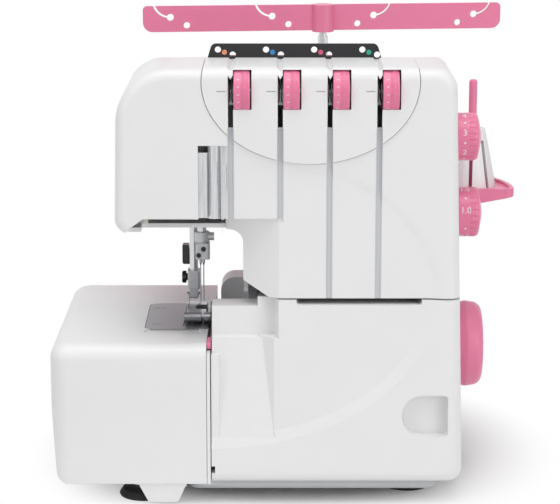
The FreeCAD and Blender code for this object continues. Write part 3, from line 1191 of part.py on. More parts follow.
def make_needle_rocker():
    """Rocking shaft in the arm, with the fork that drives the needle bar and its tail lever."""
    left = DRIVE_RIGHT + FREE
    shaft = rod_x(left, RIGHT_PLATE + FRAME_WALL, ROCKER_Y, ROCKER_HEIGHT, ROCKER_RADIUS)
    reach = ROCKER_BEHIND
    arm = slab_yz([(ROCKER_Y + 9, ROCKER_HEIGHT - 9, 8.0), (ROCKER_Y + 9, ROCKER_HEIGHT + 9, 8.0),
                   (ROCKER_Y - reach + 4, ROCKER_HEIGHT + 6.4, 0), (ROCKER_Y - reach - 8,
                                                                    ROCKER_HEIGHT + 6.4, 1.5),
                   (ROCKER_Y - reach - 8, ROCKER_HEIGHT - 6.4, 1.5), (ROCKER_Y - reach + 4,
                                                                      ROCKER_HEIGHT - 6.4, 0)],
                  left, left + FORK_THICKNESS)
    gap = DRIVE_PIN_RADIUS + FORK_CLEARANCE
    fork = box(left - 1, left + FORK_THICKNESS + 1, ROCKER_Y - reach - 10, ROCKER_Y - reach + 6,
               ROCKER_HEIGHT - gap, ROCKER_HEIGHT + gap)
    lift = math.degrees(math.atan2(NEEDLE_STROKE / 2, reach))
    arm = arm.cut(fork)
    arm.rotate(Vector(0, ROCKER_Y, ROCKER_HEIGHT), Vector(1, 0, 0), -lift)
    tail_left = RIGHT_PLATE - 30.0
    tail = slab_yz([(ROCKER_Y - 9, ROCKER_HEIGHT + 9, 8.0), (ROCKER_Y + 9, ROCKER_HEIGHT + 9, 8.0),
                    (ROCKER_Y + 5, ROCKER_HEIGHT - 34, 4.9), (ROCKER_Y - 5, ROCKER_HEIGHT - 34, 4.9)],
                   tail_left, tail_left + 6.0)
    tail = tail.cut(rod_x(tail_left - 1, tail_left + 7, ROCKER_Y, ROCKER_HEIGHT - 28, 2.5))
    return joined(shaft, arm, tail)


# Presser bar, foot and lifter
def make_presser_bar():
    return rod_z(HOLDER_TOP - 10, PRESSER_BAR_TOP, PRESSER_X, PRESSER_Y, PRESSER_BAR_RADIUS)


def make_foot_holder():
    half = HOLDER_WIDTH / 2
    depth = 6.0
    block = slab_xy(rectangle(PRESSER_X - half, PRESSER_X + half, PRESSER_Y - depth, PRESSER_Y + depth, 1.5),
                    HOLDER_BOTTOM + 7.0, HOLDER_TOP)
    shank = slab_yz([(PRESSER_Y - 4.2, HOLDER_BOTTOM - 0.6, 2.0), (PRESSER_Y + 4.2, HOLDER_BOTTOM - 0.6, 2.0),
                     (PRESSER_Y + 5.0, HOLDER_BOTTOM + 8, 0), (PRESSER_Y - 5.0, HOLDER_BOTTOM + 8, 0)],
                    PRESSER_X - half + 1.5, PRESSER_X + half - 1.5)
    hook = box(PRESSER_X - half, PRESSER_X + half, PRESSER_Y - FOOT_PIN_RADIUS - RUN,
               PRESSER_Y + FOOT_PIN_RADIUS + RUN,
               HOLDER_BOTTOM - 2, FOOT_PIN_Z)
    socket = rod_x(PRESSER_X - half, PRESSER_X + half, PRESSER_Y, FOOT_PIN_Z, FOOT_PIN_RADIUS + RUN)
    bar = rod_z(HOLDER_TOP - 10, FAR, PRESSER_X, PRESSER_Y, PRESSER_BAR_RADIUS)
    return joined(block, shank).cut([hook, socket, bar])


def make_foot_screw():
    """Thumb screw that clamps the holder to the presser bar, on its left side."""
    left = PRESSER_X - HOLDER_WIDTH / 2
    z = HOLDER_TOP - 5.3
    knob = turned_x([(left - 4.2, 0, 0), (left - 4.2, 4.4, 1.0), (left - 1.0, 4.4, 0.6), (left - 1.0, 2.6, 0),
                     (left, 2.6, 0), (left, 0, 0)], PRESSER_Y, z)
    return knob.cut(Part.makeBox(1.2, 10.0, 1.0, Vector(left - 4.6, PRESSER_Y - 5.0, z - 0.5)))


def make_presser_foot():
    """Foot with an upturned toe, a needle window and the pin it snaps on with."""
    right = PLATE_RIGHT - 0.3
    left = right - FOOT_SOLE_WIDTH
    sole = BED_HEIGHT + FREE
    front = PLATE_FRONT + 2.0
    back = PLATE_BACK - 1.5
    profile = [(front, sole + 8.0, 0), (front + 1.2, sole + 9.4, 0), (front + 4.5, sole + 10.0, 1.5),
               (front + 12, sole + 4.5, 8.0), (front + 20, sole + 2.2, 10.0), (back, sole + 2.0, 0.8),
               (back, sole, 0.5), (front + 14, sole, 12.0), (front + 2.0, sole + 4.0, 5.0)]
    plate = slab_yz(profile, left, left + FOOT_TOE_WIDTH)
    knife_side = box(right, right + 20, KNIFE_FRONT - 4, FAR, 0, FAR)
    window = slab_xy(rectangle(NEEDLE_X - 4.4, right + 2, NEEDLE_Y - 8, NEEDLE_Y + 5, 1.5), sole - 2,
                     sole + 20)
    toe_slot = box(NEEDLE_X + 1.2, NEEDLE_X + 2.4, front - 5, KNIFE_FRONT - 10, sole - 2, sole + 30)
    ears = []
    for x in (PRESSER_X - HOLDER_WIDTH / 2 - 0.6, PRESSER_X + HOLDER_WIDTH / 2 - 1.0):
        ears.append(slab_yz([(PRESSER_Y - 7, sole + 1, 0), (PRESSER_Y + 4, sole + 1, 0),
                             (PRESSER_Y + 3, FOOT_PIN_Z + 3.0, 2.5), (PRESSER_Y - 3, FOOT_PIN_Z + 3.0, 2.5)],
                            x, x + 1.6))
    pin = rod_x(PRESSER_X - HOLDER_WIDTH / 2 - 0.6, PRESSER_X + HOLDER_WIDTH / 2 + 0.6, PRESSER_Y, FOOT_PIN_Z,
                FOOT_PIN_RADIUS)
    return joined(plate.cut([window, toe_slot, knife_side]), *ears, pin)


def make_lifter():
    """Presser lifter: a hub on its stud, and an arm that runs down behind the presser bar to the handle."""
    y0 = LIFTER_Y
    y1 = LIFTER_Y + LIFTER_THICKNESS
    z = LIFTER_HEIGHT
    right = PRESSER_X + 4.2
    left = right - 6.5
    hub = rod_y(y0, y1, LIFTER_X, z, 6.6)
    arm = slab_xz([(LIFTER_X - 5, z, 0), (LIFTER_X + 4.5, z, 0), (LIFTER_X + 4.5, z - 9, 0),
                   (right, z - 28, 6.0),
                   (right, z - 53, 0), (left - 4, z - 53, 0), (left - 4, z - 47, 0), (left, z - 47, 0),
                   (left, z - 30, 6.0), (LIFTER_X - 5, z - 8, 3.0)], y0 + 1.0, y1 - 1.0)
    return joined(hub, arm).cut(rod_y(y0 - 1, y1 + 1, LIFTER_X, z, LIFTER_PIN_RADIUS + RUN))


def make_lifter_handle(lifter):
    left = LIFTER_X + 4.6
    top = LIFTER_HEIGHT - 43.1
    bottom = LIFTER_HEIGHT - 57.2
    grip = slab_xz([(left, bottom, 1.5), (left + 7.1, bottom, 1.5), (left + 4.7, top, 0.8), (left, top, 0.8)],
                   LIFTER_Y - 1.5, LIFTER_Y + LIFTER_THICKNESS + 1.5)
    return grip.cut(lifter)


def make_lifter_pin():
    """Headed stud on the arm wall for the presser lifter."""
    head = LIFTER_Y - FREE
    return joined(rod_y(head - 2.0, FRAME_BACK - 1, LIFTER_X, LIFTER_HEIGHT, LIFTER_PIN_RADIUS),
                  rod_y(head - 2.0, head, LIFTER_X, LIFTER_HEIGHT, 5.0),
                  rod_y(LIFTER_Y + LIFTER_THICKNESS + FREE, FRAME_BACK - 1, LIFTER_X, LIFTER_HEIGHT, 5.0))


def make_lamp():
    """Small lamp on the arm's lower rim, facing the needle."""
    x0 = ARM_LEFT + 10.6
    y0 = SHELL_FRONT + 24
    return slab_xy(rectangle(x0, x0 + 10.5, y0, y0 + 25, 2.0), ARM_BOTTOM + WALL, ARM_BOTTOM + WALL + 7)


# Face pieces by the needle

def make_take_up_guard():
    """Bright bent guard behind the face's slot: a flat strip, a half-round column and two flanges."""
    wall = SHELL_FRONT + FRONT_WALL
    left = needle_slot_left()
    right = needle_slot_right()
    bottom = FACE_BOTTOM - 1.0
    top = needle_slot_top() + 3
    strip_y = wall + 5.0
    radius = 5.25
    middle = right - radius
    strip = box(left - 1.0, right - 2 * radius + 0.5, strip_y, strip_y + 1.0, bottom, needle_slot_top() - 6)
    left_flange = box(left - 3.5, left, wall, wall + 1.0, bottom, top)
    left_web = box(left - 1.0, left, wall, strip_y + 1.0, bottom, top)
    axis_y = strip_y + 2.0
    column = rod_z(bottom, top, middle, axis_y, radius).cut(rod_z(bottom - 1, top + 1, middle, axis_y,
                                                                  radius - 1.0))
    column = column.common(box(middle - 6, middle + 6, axis_y - 10, axis_y, 0, FAR))
    right_web = box(right - 1.0, right, wall, axis_y, bottom, top)
    right_flange = box(right - 1.0, right + 1.2, wall, wall + 1.0, bottom, top)
    return joined(strip, left_flange, left_web, column, right_web, right_flange)


def make_face_thread_guide():
    """Small hooked guide on the slot's right shoulder."""
    x = thread_x(0) - 3.3
    z = FACE_BOTTOM + 20.0
    return slab_xz(rectangle(x - 0.5, x + 0.5, z, z + 16, 0.4), SHELL_FRONT - 1.6, SHELL_FRONT + 0.6)


def make_thread_guide_plate():
    """Raised plate across the top with two eyes for each thread."""
    y = SHELL_FRONT + PANEL_DEPTH + FREE
    left = thread_x(0) - 16.8
    right = thread_x(THREADS - 1) + 3.5
    top = BODY_TOP + 10.4
    plate = slab_xz([(left, BODY_TOP, 0), (right, BODY_TOP, 0), (right - 3, top, 4.0), (left + 3, top, 4.0)],
                    y, y + 1.6)
    foot = box(left + 6, right - 6, y + 1, y + 9.0, BODY_TOP, BODY_TOP + 1.6)
    eyes = []
    for index in range(THREADS):
        for shift, rise in ((-9.6, 6.3), (0.4, 2.9)):
            eyes.append(rod_y(y - 1, y + 3, thread_x(index) + shift, BODY_TOP + rise, 2.1))
    return joined(plate, foot).cut(eyes)


# Tension units behind the panel

def make_tension_rail():
    """Bracket on the frame's front edges, with an ear and a fixed post for each tension unit."""
    y0 = PLATE_EDGE - 4.0
    left = thread_x(0) - 9.0
    right = RIGHT_PLATE + FRAME_WALL
    rail = box(left, right, y0, PLATE_EDGE, TENSION_Z - 12, TENSION_Z + 5)
    ears = []
    for index in range(THREADS):
        x = thread_x(index) - 7.0
        ears.append(slab_yz([(TENSION_Y - 4.6, TENSION_Z - 5, 4.5), (y0 + 1, TENSION_Z - 11, 0),
                             (y0 + 1, TENSION_Z + 5, 0), (TENSION_Y - 4.6, TENSION_Z + 5, 4.5)], x, x + 3.0))
        right_end = dial_left(index) + TENSION_DIAL_WIDTH + 0.7
        ears.append(rod_x(x, right_end, TENSION_Y, TENSION_Z, TENSION_POST_RADIUS))
    return joined(rail, *ears)


def make_tension_discs():
    """Two dished discs on each post, one each side of the thread."""
    discs = []
    for index in range(THREADS):
        for side in (-1, 1):
            x = thread_x(index) + side * 0.3
            profile = [(x, TENSION_POST_RADIUS + RUN, 0), (x, TENSION_DISC_RADIUS - 2.5, 0),
                       (x + side * TENSION_DISC_FLARE, TENSION_DISC_RADIUS, 0),
                       (x + side * (TENSION_DISC_FLARE + TENSION_DISC_THICKNESS), TENSION_DISC_RADIUS, 0),
                       (x + side * TENSION_DISC_THICKNESS, TENSION_DISC_RADIUS - 2.5, 0),
                       (x + side * TENSION_DISC_THICKNESS, TENSION_POST_RADIUS + RUN, 0)]
            discs.append(turned_x(profile, TENSION_Y, TENSION_Z))
    return Part.makeCompound(discs)


def make_tension_dial(index):
    """Knurled wheel on its post."""
    left = dial_left(index)
    right = left + TENSION_DIAL_WIDTH
    profile = [(left, TENSION_POST_RADIUS + RUN, 0), (left, TENSION_DIAL_RADIUS, 0.8),
               (right, TENSION_DIAL_RADIUS, 0.8), (right, TENSION_POST_RADIUS + RUN, 0)]
    return turned_x(profile, TENSION_Y, TENSION_Z)


# Side dials, handwheel and drive

def make_side_dial(height, radius):
    """Dial with a plain band, a fluted rim and a domed end, on a spindle into the frame."""
    left = right_side(height) + DIAL_GAP
    right = left + DIAL_WIDTH
    profile = [(RIGHT_PLATE + 1.0, 0, 0), (RIGHT_PLATE + 1.0, DIAL_SPINDLE_RADIUS, 0),
               (left, DIAL_SPINDLE_RADIUS, 0), (left, radius, 0.6), (right - 5.0, radius, 0),
               (right - 2.5, radius - 0.8, 2.0), (right, 4.0, 12.0), (right, 0, 0)]
    dial = turned_x(profile, DIAL_Y, height)
    flutes = []
    count = 24
    for step in range(count):
        turn = 2 * math.pi * step / count
        y = DIAL_Y + (radius + 0.5) * math.cos(turn)
        z = height + (radius + 0.5) * math.sin(turn)
        flutes.append(rod_x(left + 8.0, right + 1, y, z, 1.1))
    return dial.cut(flutes)


def make_handwheel():
    left = right_side(HANDWHEEL_HEIGHT - HANDWHEEL_RADIUS) + HANDWHEEL_GAP
    right = left + HANDWHEEL_WIDTH
    rim = HANDWHEEL_RADIUS
    profile = [(left + 1.0, SHAFT_RADIUS, 0), (left + 1.0, 11.0, 0), (left + 8.0, 13.0, 0),
               (left + 8.0, rim - 5.0, 1.5),
               (left, rim - 4.0, 0), (left, rim - 1.5, 1.2), (left + 6.0, rim, 5.0), (right, rim - 2.0, 6.5),
               (right - 2.0, 12.0, 20.0), (right - 3.0, 0, 0), (left + 10.0, 0, 0), (left + 10.0,
                                                                                     SHAFT_RADIUS, 0)]
    return turned_x(profile, SHAFT_Y, HANDWHEEL_HEIGHT)


def make_bushes():
    """Bronze bushes of the needle bar, the presser bar and the main shaft."""
    bushes = []
    for x, y, radius in ((NEEDLE_X, NEEDLE_Y, NEEDLE_BAR_RADIUS), (PRESSER_X, PRESSER_Y, PRESSER_BAR_RADIUS)):
        for height in (LOWER_LUG, UPPER_LUG):
            bush = rod_z(height, height + LUG_THICKNESS, x, y, BAR_BUSH_RADIUS)
            bushes.append(bush.cut(rod_z(height - 1, height + LUG_THICKNESS + 1, x, y, radius + RUN)))
    for left in (LEFT_PLATE, RIGHT_PLATE):
        bush = rod_x(left, left + FRAME_WALL, SHAFT_Y, HANDWHEEL_HEIGHT, SHAFT_BUSH_RADIUS)
        bushes.append(bush.cut(rod_x(left - 1, left + FRAME_WALL + 1, SHAFT_Y, HANDWHEEL_HEIGHT,
                                     SHAFT_RADIUS + RUN)))
    return Part.makeCompound(bushes)


def make_main_shaft():
    """Main shaft with its two eccentrics."""
    right = right_side(HANDWHEEL_HEIGHT - HANDWHEEL_RADIUS) + HANDWHEEL_GAP + 10.0
    shaft = rod_x(SHAFT_LEFT, right, SHAFT_Y, HANDWHEEL_HEIGHT, SHAFT_RADIUS)
    cams = []
    for share, side in ((30.0, 1), (56.0, -1)):
        x = LEFT_PLATE + share
        cams.append(rod_x(x, x + 9.0, SHAFT_Y, HANDWHEEL_HEIGHT + side * ECCENTRIC_OFFSET, ECCENTRIC_RADIUS))
    return joined(shaft, *cams)


def pulley(radius, bore, y, z):
    left = PULLEY_LEFT
    right = left + PULLEY_WIDTH
    flange = radius + BELT_THICKNESS + PULLEY_FLANGE
    profile = [(left, bore, 0), (left, flange, 0), (left + PULLEY_FLANGE, flange, 0),
               (left + PULLEY_FLANGE, radius, 0),
               (right - PULLEY_FLANGE, radius, 0), (right - PULLEY_FLANGE, flange, 0), (right, flange, 0),
               (right, bore, 0)]
    return turned_x(profile, y, z)


def make_main_pulley():
    return pulley(MAIN_PULLEY_RADIUS, SHAFT_RADIUS, SHAFT_Y, HANDWHEEL_HEIGHT)


def make_motor_pulley():
    shaft = rod_x(MOTOR_RIGHT - 3.0, PULLEY_LEFT + PULLEY_WIDTH, MOTOR_Y, MOTOR_Z, MOTOR_SHAFT_RADIUS)
    return joined(pulley(MOTOR_PULLEY_RADIUS, MOTOR_SHAFT_RADIUS - 0.5, MOTOR_Y, MOTOR_Z), shaft)


def make_motor():
    left = MOTOR_RIGHT - MOTOR_LENGTH
    profile = [(left, 0, 0), (left, 8.0, 0), (left + 3, 8.0, 0), (left + 3, MOTOR_RADIUS, 3.0),
               (MOTOR_RIGHT - 3, MOTOR_RADIUS, 3.0), (MOTOR_RIGHT - 3, 9.0, 0), (MOTOR_RIGHT, 9.0, 0),
               (MOTOR_RIGHT, MOTOR_SHAFT_RADIUS + RUN, 0), (MOTOR_RIGHT - 4, MOTOR_SHAFT_RADIUS + RUN, 0),
               (MOTOR_RIGHT - 4, 0, 0)]
    return turned_x(profile, MOTOR_Y, MOTOR_Z)


def make_motor_cradle():
    """Saddle on the frame's floor that the motor lies in, with a foot at each end."""
    left = MOTOR_RIGHT - MOTOR_LENGTH + 12.0
    block = slab_yz([(MOTOR_Y - 25, FRAME_FLOOR_TOP - 1, 0), (MODULE_Y0 - 5, FRAME_FLOOR_TOP - 1, 0),
                     (MOTOR_Y + 22, MOTOR_Z - 8, 2.0), (MOTOR_Y - 25, MOTOR_Z - 8, 2.0)], left, left + 40.0)
    slot = box(left + 8, left + 32, MOTOR_Y - 30, MOTOR_Y + 30, FRAME_FLOOR_TOP, FAR)
    return block.cut([rod_x(left - 1, left + 41, MOTOR_Y, MOTOR_Z, MOTOR_RADIUS + RUN), slot])


def belt_loop(grow):
    """Solid inside a tight loop round both pulleys, grown outwards."""
    big = MAIN_PULLEY_RADIUS + grow
    small = MOTOR_PULLEY_RADIUS + grow
    x = PULLEY_LEFT + PULLEY_FLANGE + BELT_CLEARANCE
    start = Vector(x, SHAFT_Y, HANDWHEEL_HEIGHT)
    end = Vector(x, MOTOR_Y, MOTOR_Z)
    along = (end - start).normalize()
    across = Vector(0, -along.z, along.y)
    span = Vector(0, MOTOR_Y - SHAFT_Y, MOTOR_Z - HANDWHEEL_HEIGHT).Length
    tilt = (big - small) / span
    side = math.sqrt(1 - tilt ** 2)

    def touch(centre, radius, sign):
        return centre + (along * tilt + across * (side * sign)) * radius

    edges = [
        Part.LineSegment(touch(start, big, 1), touch(end, small, 1)).toShape(),
        Part.Arc(touch(end, small, 1), end + along * small, touch(end, small, -1)).toShape(),
        Part.LineSegment(touch(end, small, -1), touch(start, big, -1)).toShape(),
        Part.Arc(touch(start, big, -1), start - along * big, touch(start, big, 1)).toShape(),
    ]
    width = PULLEY_WIDTH - 2 * (PULLEY_FLANGE + BELT_CLEARANCE)
    return Part.Face(Part.Wire(edges)).extrude(Vector(width, 0, 0))


def make_drive_belt():
    return belt_loop(BELT_CLEARANCE + BELT_THICKNESS).cut(belt_loop(BELT_CLEARANCE))


# Thread stand

def make_spool_stand():
    """Shallow tray behind the body, with a deep boss for the telescopic pole."""
    left = POLE_X - TRAY_HALF
    right = POLE_X + TRAY_HALF
    back = BODY_BACK + TRAY_REACH
    tray = slab_xy([(left, BODY_BACK, 6.0), (right, BODY_BACK, 6.0), (right, back, TRAY_BACK_ROUND),
                    (left, back, TRAY_BACK_ROUND)], TRAY_UNDERSIDE, TRAY_TOP)
    taper = [slab_xz(sharp([(x, TRAY_UNDERSIDE - 1), (x + side * 32, TRAY_UNDERSIDE - 1),
                            (x + side * 32, TRAY_UNDERSIDE + 5)]), -FAR, FAR)
             for x, side in ((left + 30, -1), (right - 30, 1))]
    rim = TRAY_RIM
    dish = slab_xy([(left + rim, BODY_BACK + rim, 4.0), (right - rim, BODY_BACK + rim, 4.0),
                    (right - rim, back - rim, TRAY_BACK_ROUND - rim), (left + rim, back - rim,
                                                                       TRAY_BACK_ROUND - rim)],
                   TRAY_FLOOR, TRAY_TOP + 1)
    boss = rod_z(POLE_FOOT - POLE_STEP, TRAY_TOP + 2, POLE_X, POLE_Y, POLE_RADIUS + 4.2)
    socket = rod_z(POLE_FOOT, FAR, POLE_X, POLE_Y, POLE_RADIUS + RUN)
    return joined(tray.cut(taper + [dish]), boss).cut(socket)


def pin_places():
    return [POLE_X + side * pitch / 2 for pitch in (PIN_PITCH_OUTER, PIN_PITCH_INNER) for side in (-1, 1)]


def make_spool_pins():
    pins = []
    for x in pin_places():
        profile = [(0, TRAY_FLOOR, 0), (PIN_RADIUS, TRAY_FLOOR, 0), (PIN_RADIUS, PIN_TOP, 2.0),
                   (0, PIN_TOP, 0)]
        pins.append(turned_z(profile, x, POLE_Y))
    return Part.makeCompound(pins)


def make_cone_holders():
    """Slit hollow cones that centre a cone of thread on each pin."""
    holders = []
    floor = TRAY_FLOOR
    top = floor + CONE_HEIGHT
    bore = PIN_RADIUS + FREE
    for x in pin_places():
        cone = turned_z([(bore, top - 2.0, 0), (bore, top, 0), (CONE_NECK_RADIUS, top, 0.8),
                         (CONE_FOOT_RADIUS, floor, 0),
                         (CONE_FOOT_RADIUS - CONE_WALL, floor, 0), (CONE_NECK_RADIUS - CONE_WALL, top - 2.0,
                                                                    0)],
                        x, POLE_Y)
        slits = []
        for step in range(CONE_SLITS):
            slit = box(x + bore + 2.0, x + 30, POLE_Y - CONE_SLIT / 2, POLE_Y + CONE_SLIT / 2, floor - 1,
                       top - 8.0)
            slit.rotate(Vector(x, POLE_Y, 0), Vector(0, 0, 1), 360.0 * step / CONE_SLITS - 97.5)
            slits.append(slit)
        holders.append(cone.cut(slits))
    return Part.makeCompound(holders)


def pole_stage(level):
    """Outer radius of a stage of the telescopic pole, counted from the outside."""
    return POLE_RADIUS - level * (POLE_WALL + POLE_GAP)


def make_pole_base():
    return rod_z(POLE_FOOT, POLE_STAGE_TOP, POLE_X, POLE_Y, pole_stage(0)).cut(
        rod_z(POLE_FOOT + 2.0, FAR, POLE_X, POLE_Y, pole_stage(0) - POLE_WALL))


def make_pole_middle():
    bottom = POLE_FOOT + POLE_STEP
    return rod_z(bottom, POLE_STAGE_TOP + 2.0, POLE_X, POLE_Y, pole_stage(1)).cut(
        rod_z(bottom + 2.0, FAR, POLE_X, POLE_Y, pole_stage(1) - POLE_WALL))


def make_pole_top():
    return rod_z(POLE_FOOT + 2 * POLE_STEP, ANTENNA_BOTTOM + 12.0, POLE_X, POLE_Y, pole_stage(2))


def make_antenna():
    """Thread guide bar: a flat bar with a slit eye and a plain eye for each thread."""
    left = POLE_X - ANTENNA_LENGTH / 2
    right = POLE_X + ANTENNA_LENGTH / 2
    top = ANTENNA_BOTTOM + ANTENNA_HEIGHT
    front = POLE_Y - ANTENNA_THICKNESS / 2
    back = POLE_Y + ANTENNA_THICKNESS / 2
    bar = slab_xz([(left, ANTENNA_BOTTOM, 7.0), (right, ANTENNA_BOTTOM, 7.0), (right, top, 3.0),
                   (left, top, 3.0)],
                  front, back)
    boss = rod_z(ANTENNA_BOTTOM - 1.0, top, POLE_X, POLE_Y, 8.0)
    cuts = [rod_z(ANTENNA_BOTTOM - 5, ANTENNA_BOTTOM + 12.0, POLE_X, POLE_Y, pole_stage(2))]
    z = top - EYE_BELOW_TOP
    for pitch in (EYE_PITCH_OUTER, EYE_PITCH_INNER):
        for side in (-1, 1):
            x = POLE_X + side * pitch / 2
            cuts.append(rod_y(front - 1, back + 1, x, z, EYE_RADIUS))
            cuts.append(rod_y(front - 1, back + 1, x - side * EYE_STEP_IN, z - EYE_STEP_DOWN,
                              EYE_RADIUS - 0.2))
            ring = rod_y(front - 1, back + 1, x, z + EYE_SWEEP, EYE_SWEEP + EYE_SLIT / 2).cut(
                rod_y(front - 2, back + 2, x, z + EYE_SWEEP, EYE_SWEEP - EYE_SLIT / 2))
            outward = box(min(x, x + side * 40), max(x, x + side * 40), front - 2, back + 2, z - 10, top + 1)
            cuts.append(ring.common(outward))
    antenna = joined(bar, boss).cut(cuts)
    antenna.rotate(Vector(POLE_X, POLE_Y, 0), Vector(0, 0, 1), ANTENNA_TURN)
    return antenna


# Build and write every piece

def make_pieces():
    outer, inner = housing_shell()
    lifter = make_lifter()
    pieces = {
        "front_housing": make_front_housing(outer, inner),
        "rear_housing": make_rear_housing(outer, inner),
        "tension_panel": make_tension_panel(inner),
        "thread_channels": make_thread_channels(),
        "thread_guide_plate": make_thread_guide_plate(),
        "take_up_guard": make_take_up_guard(),
        "face_thread_guide": make_face_thread_guide(),
        "looper_cover": make_looper_cover(),
        "cover_hinge_rod": make_hinge_rod(),
        "hinge_ears": make_hinge_ears(),
        "side_cover": make_side_cover(),
        "base_tray": make_base_tray(),
        "left_legs": make_left_legs(),
        "rubber_feet": make_rubber_feet(),
        "machine_frame": make_machine_frame(),
        "stitch_plate": make_stitch_plate(),
        "differential_feed_dog": make_feed_dog(0),
        "main_feed_dog": make_feed_dog(1),
        "lower_knife": make_lower_knife(),
        "upper_knife": make_upper_knife(),
        "stitch_finger_lever": make_stitch_lever(),
        "stitch_finger_cap": make_stitch_lever_cap(),
        "lower_looper": make_lower_looper(),
        "upper_looper": make_upper_looper(),
        "needle_bar": make_needle_bar(),
        "needle_clamp": make_needle_clamp(),
        "clamp_screws": make_clamp_screws(),
        "needles": make_needles(),
        "needle_rocker": make_needle_rocker(),
        "bushes": make_bushes(),
        "presser_bar": make_presser_bar(),
        "foot_holder": make_foot_holder(),
        "foot_screw": make_foot_screw(),
        "presser_foot": make_presser_foot(),
        "presser_lifter": lifter,
        "lifter_handle": make_lifter_handle(lifter),
        "lamp": make_lamp(),
        "tension_rail": make_tension_rail(),
        "tension_discs": make_tension_discs(),
        "stitch_length_dial": make_side_dial(STITCH_DIAL_HEIGHT, STITCH_DIAL_RADIUS),
        "differential_dial": make_side_dial(FEED_DIAL_HEIGHT, FEED_DIAL_RADIUS),
        "handwheel": make_handwheel(),
        "main_shaft": make_main_shaft(),
        "main_pulley": make_main_pulley(),
        "motor_pulley": make_motor_pulley(),
        "motor": make_motor(),
        "drive_belt": make_drive_belt(),
        "power_module": make_power_module(outer),
        "power_switch": make_power_switch(),
        "spool_stand": make_spool_stand(),
        "spool_pins": make_spool_pins(),
        "cone_holders": make_cone_holders(),
        "pole_base": make_pole_base(),
        "pole_middle": make_pole_middle(),
        "pole_top": make_pole_top(),
        "antenna": make_antenna(),
    }
    for index in range(THREADS):
        pieces["tension_dial_%d" % (index + 1)] = make_tension_dial(index)
    return pieces


os.makedirs("parts", exist_ok=True)
for name, shape in make_pieces().items():
    shape.exportStep("parts/%s.step" % name)
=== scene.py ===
"""Looks of a domestic four-thread overlock machine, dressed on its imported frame."""
import bpy
import bmesh
import json
import math
from mathutils import Matrix, Vector

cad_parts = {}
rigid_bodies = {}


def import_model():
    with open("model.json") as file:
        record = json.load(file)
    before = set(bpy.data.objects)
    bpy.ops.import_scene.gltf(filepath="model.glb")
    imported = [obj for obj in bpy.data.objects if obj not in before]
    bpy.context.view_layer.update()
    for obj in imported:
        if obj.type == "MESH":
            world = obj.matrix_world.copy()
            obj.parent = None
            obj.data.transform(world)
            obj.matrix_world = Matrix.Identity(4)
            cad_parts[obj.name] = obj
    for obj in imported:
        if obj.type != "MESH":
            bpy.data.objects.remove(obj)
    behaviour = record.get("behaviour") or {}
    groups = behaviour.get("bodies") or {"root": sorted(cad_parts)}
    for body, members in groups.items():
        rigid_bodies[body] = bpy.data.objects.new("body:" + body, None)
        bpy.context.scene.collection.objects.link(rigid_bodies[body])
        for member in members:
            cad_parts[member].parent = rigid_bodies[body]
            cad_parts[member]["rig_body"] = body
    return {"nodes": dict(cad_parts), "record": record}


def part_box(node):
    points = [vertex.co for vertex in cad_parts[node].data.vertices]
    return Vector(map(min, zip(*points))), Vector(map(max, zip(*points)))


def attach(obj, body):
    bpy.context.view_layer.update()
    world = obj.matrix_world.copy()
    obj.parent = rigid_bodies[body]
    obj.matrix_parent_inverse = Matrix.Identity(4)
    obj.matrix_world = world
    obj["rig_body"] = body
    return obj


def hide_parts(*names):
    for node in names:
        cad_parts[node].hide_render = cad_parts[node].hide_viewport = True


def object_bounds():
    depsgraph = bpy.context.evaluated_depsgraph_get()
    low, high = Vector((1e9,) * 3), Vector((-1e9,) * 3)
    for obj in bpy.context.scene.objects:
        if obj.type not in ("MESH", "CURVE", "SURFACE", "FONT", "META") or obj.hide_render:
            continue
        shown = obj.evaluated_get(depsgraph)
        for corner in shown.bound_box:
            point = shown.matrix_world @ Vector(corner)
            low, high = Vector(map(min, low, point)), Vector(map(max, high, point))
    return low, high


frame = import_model()
cad_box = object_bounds()
nodes = frame["nodes"]
scene = bpy.context.scene
MM = 0.001
SOFT_EDGE = 0.35 * MM
CLOUD_SPAN = (0.35, 0.7)
LINE_SPAN = (0.35, 0.75)
TENSION_DIALS = [f"tension_dial_{number}" for number in range(1, 5)]


# Node trees and shader maths
class Value:
    """A socket with the operators that add Math nodes to its tree."""

    def __init__(self, owner, socket):
        self.owner = owner
        self.socket = socket

    def math(self, operation, other):
        return self.owner.node("ShaderNodeMath", {"operation": operation}, {0: self, 1: other})

    def __add__(self, other):
        return self.math("ADD", other)

    def __mul__(self, other):
        return self.math("MULTIPLY", other)

    __radd__ = __add__
    __rmul__ = __mul__

    def eased(self, low, high):
        """0 at low, 1 at high, smooth between."""
        return self.owner.node("ShaderNodeMapRange", {"interpolation_type": "SMOOTHSTEP"},
                               {"Value": self, "From Min": low, "From Max": high}, "Result")


class NodeTree:
    """A node tree that is added to by one method."""

    def __init__(self, tree):
        self.tree = tree

    def node(self, kind, settings, values, output=0):
        """Adds a node: its settings first, then the values or links of its inputs."""
        made = self.tree.nodes.new(kind)
        for name, setting in settings.items():
            setattr(made, name, setting)
        for name, value in values.items():
            if isinstance(value, Value):
                self.feed(made, name, value)
            else:
                made.inputs[name].default_value = value
        return Value(self, made.outputs[output])

    def feed(self, made, name, value):
        """Links a value to an input of a node that is there already."""
        self.tree.links.new(value.socket, made.inputs[name])


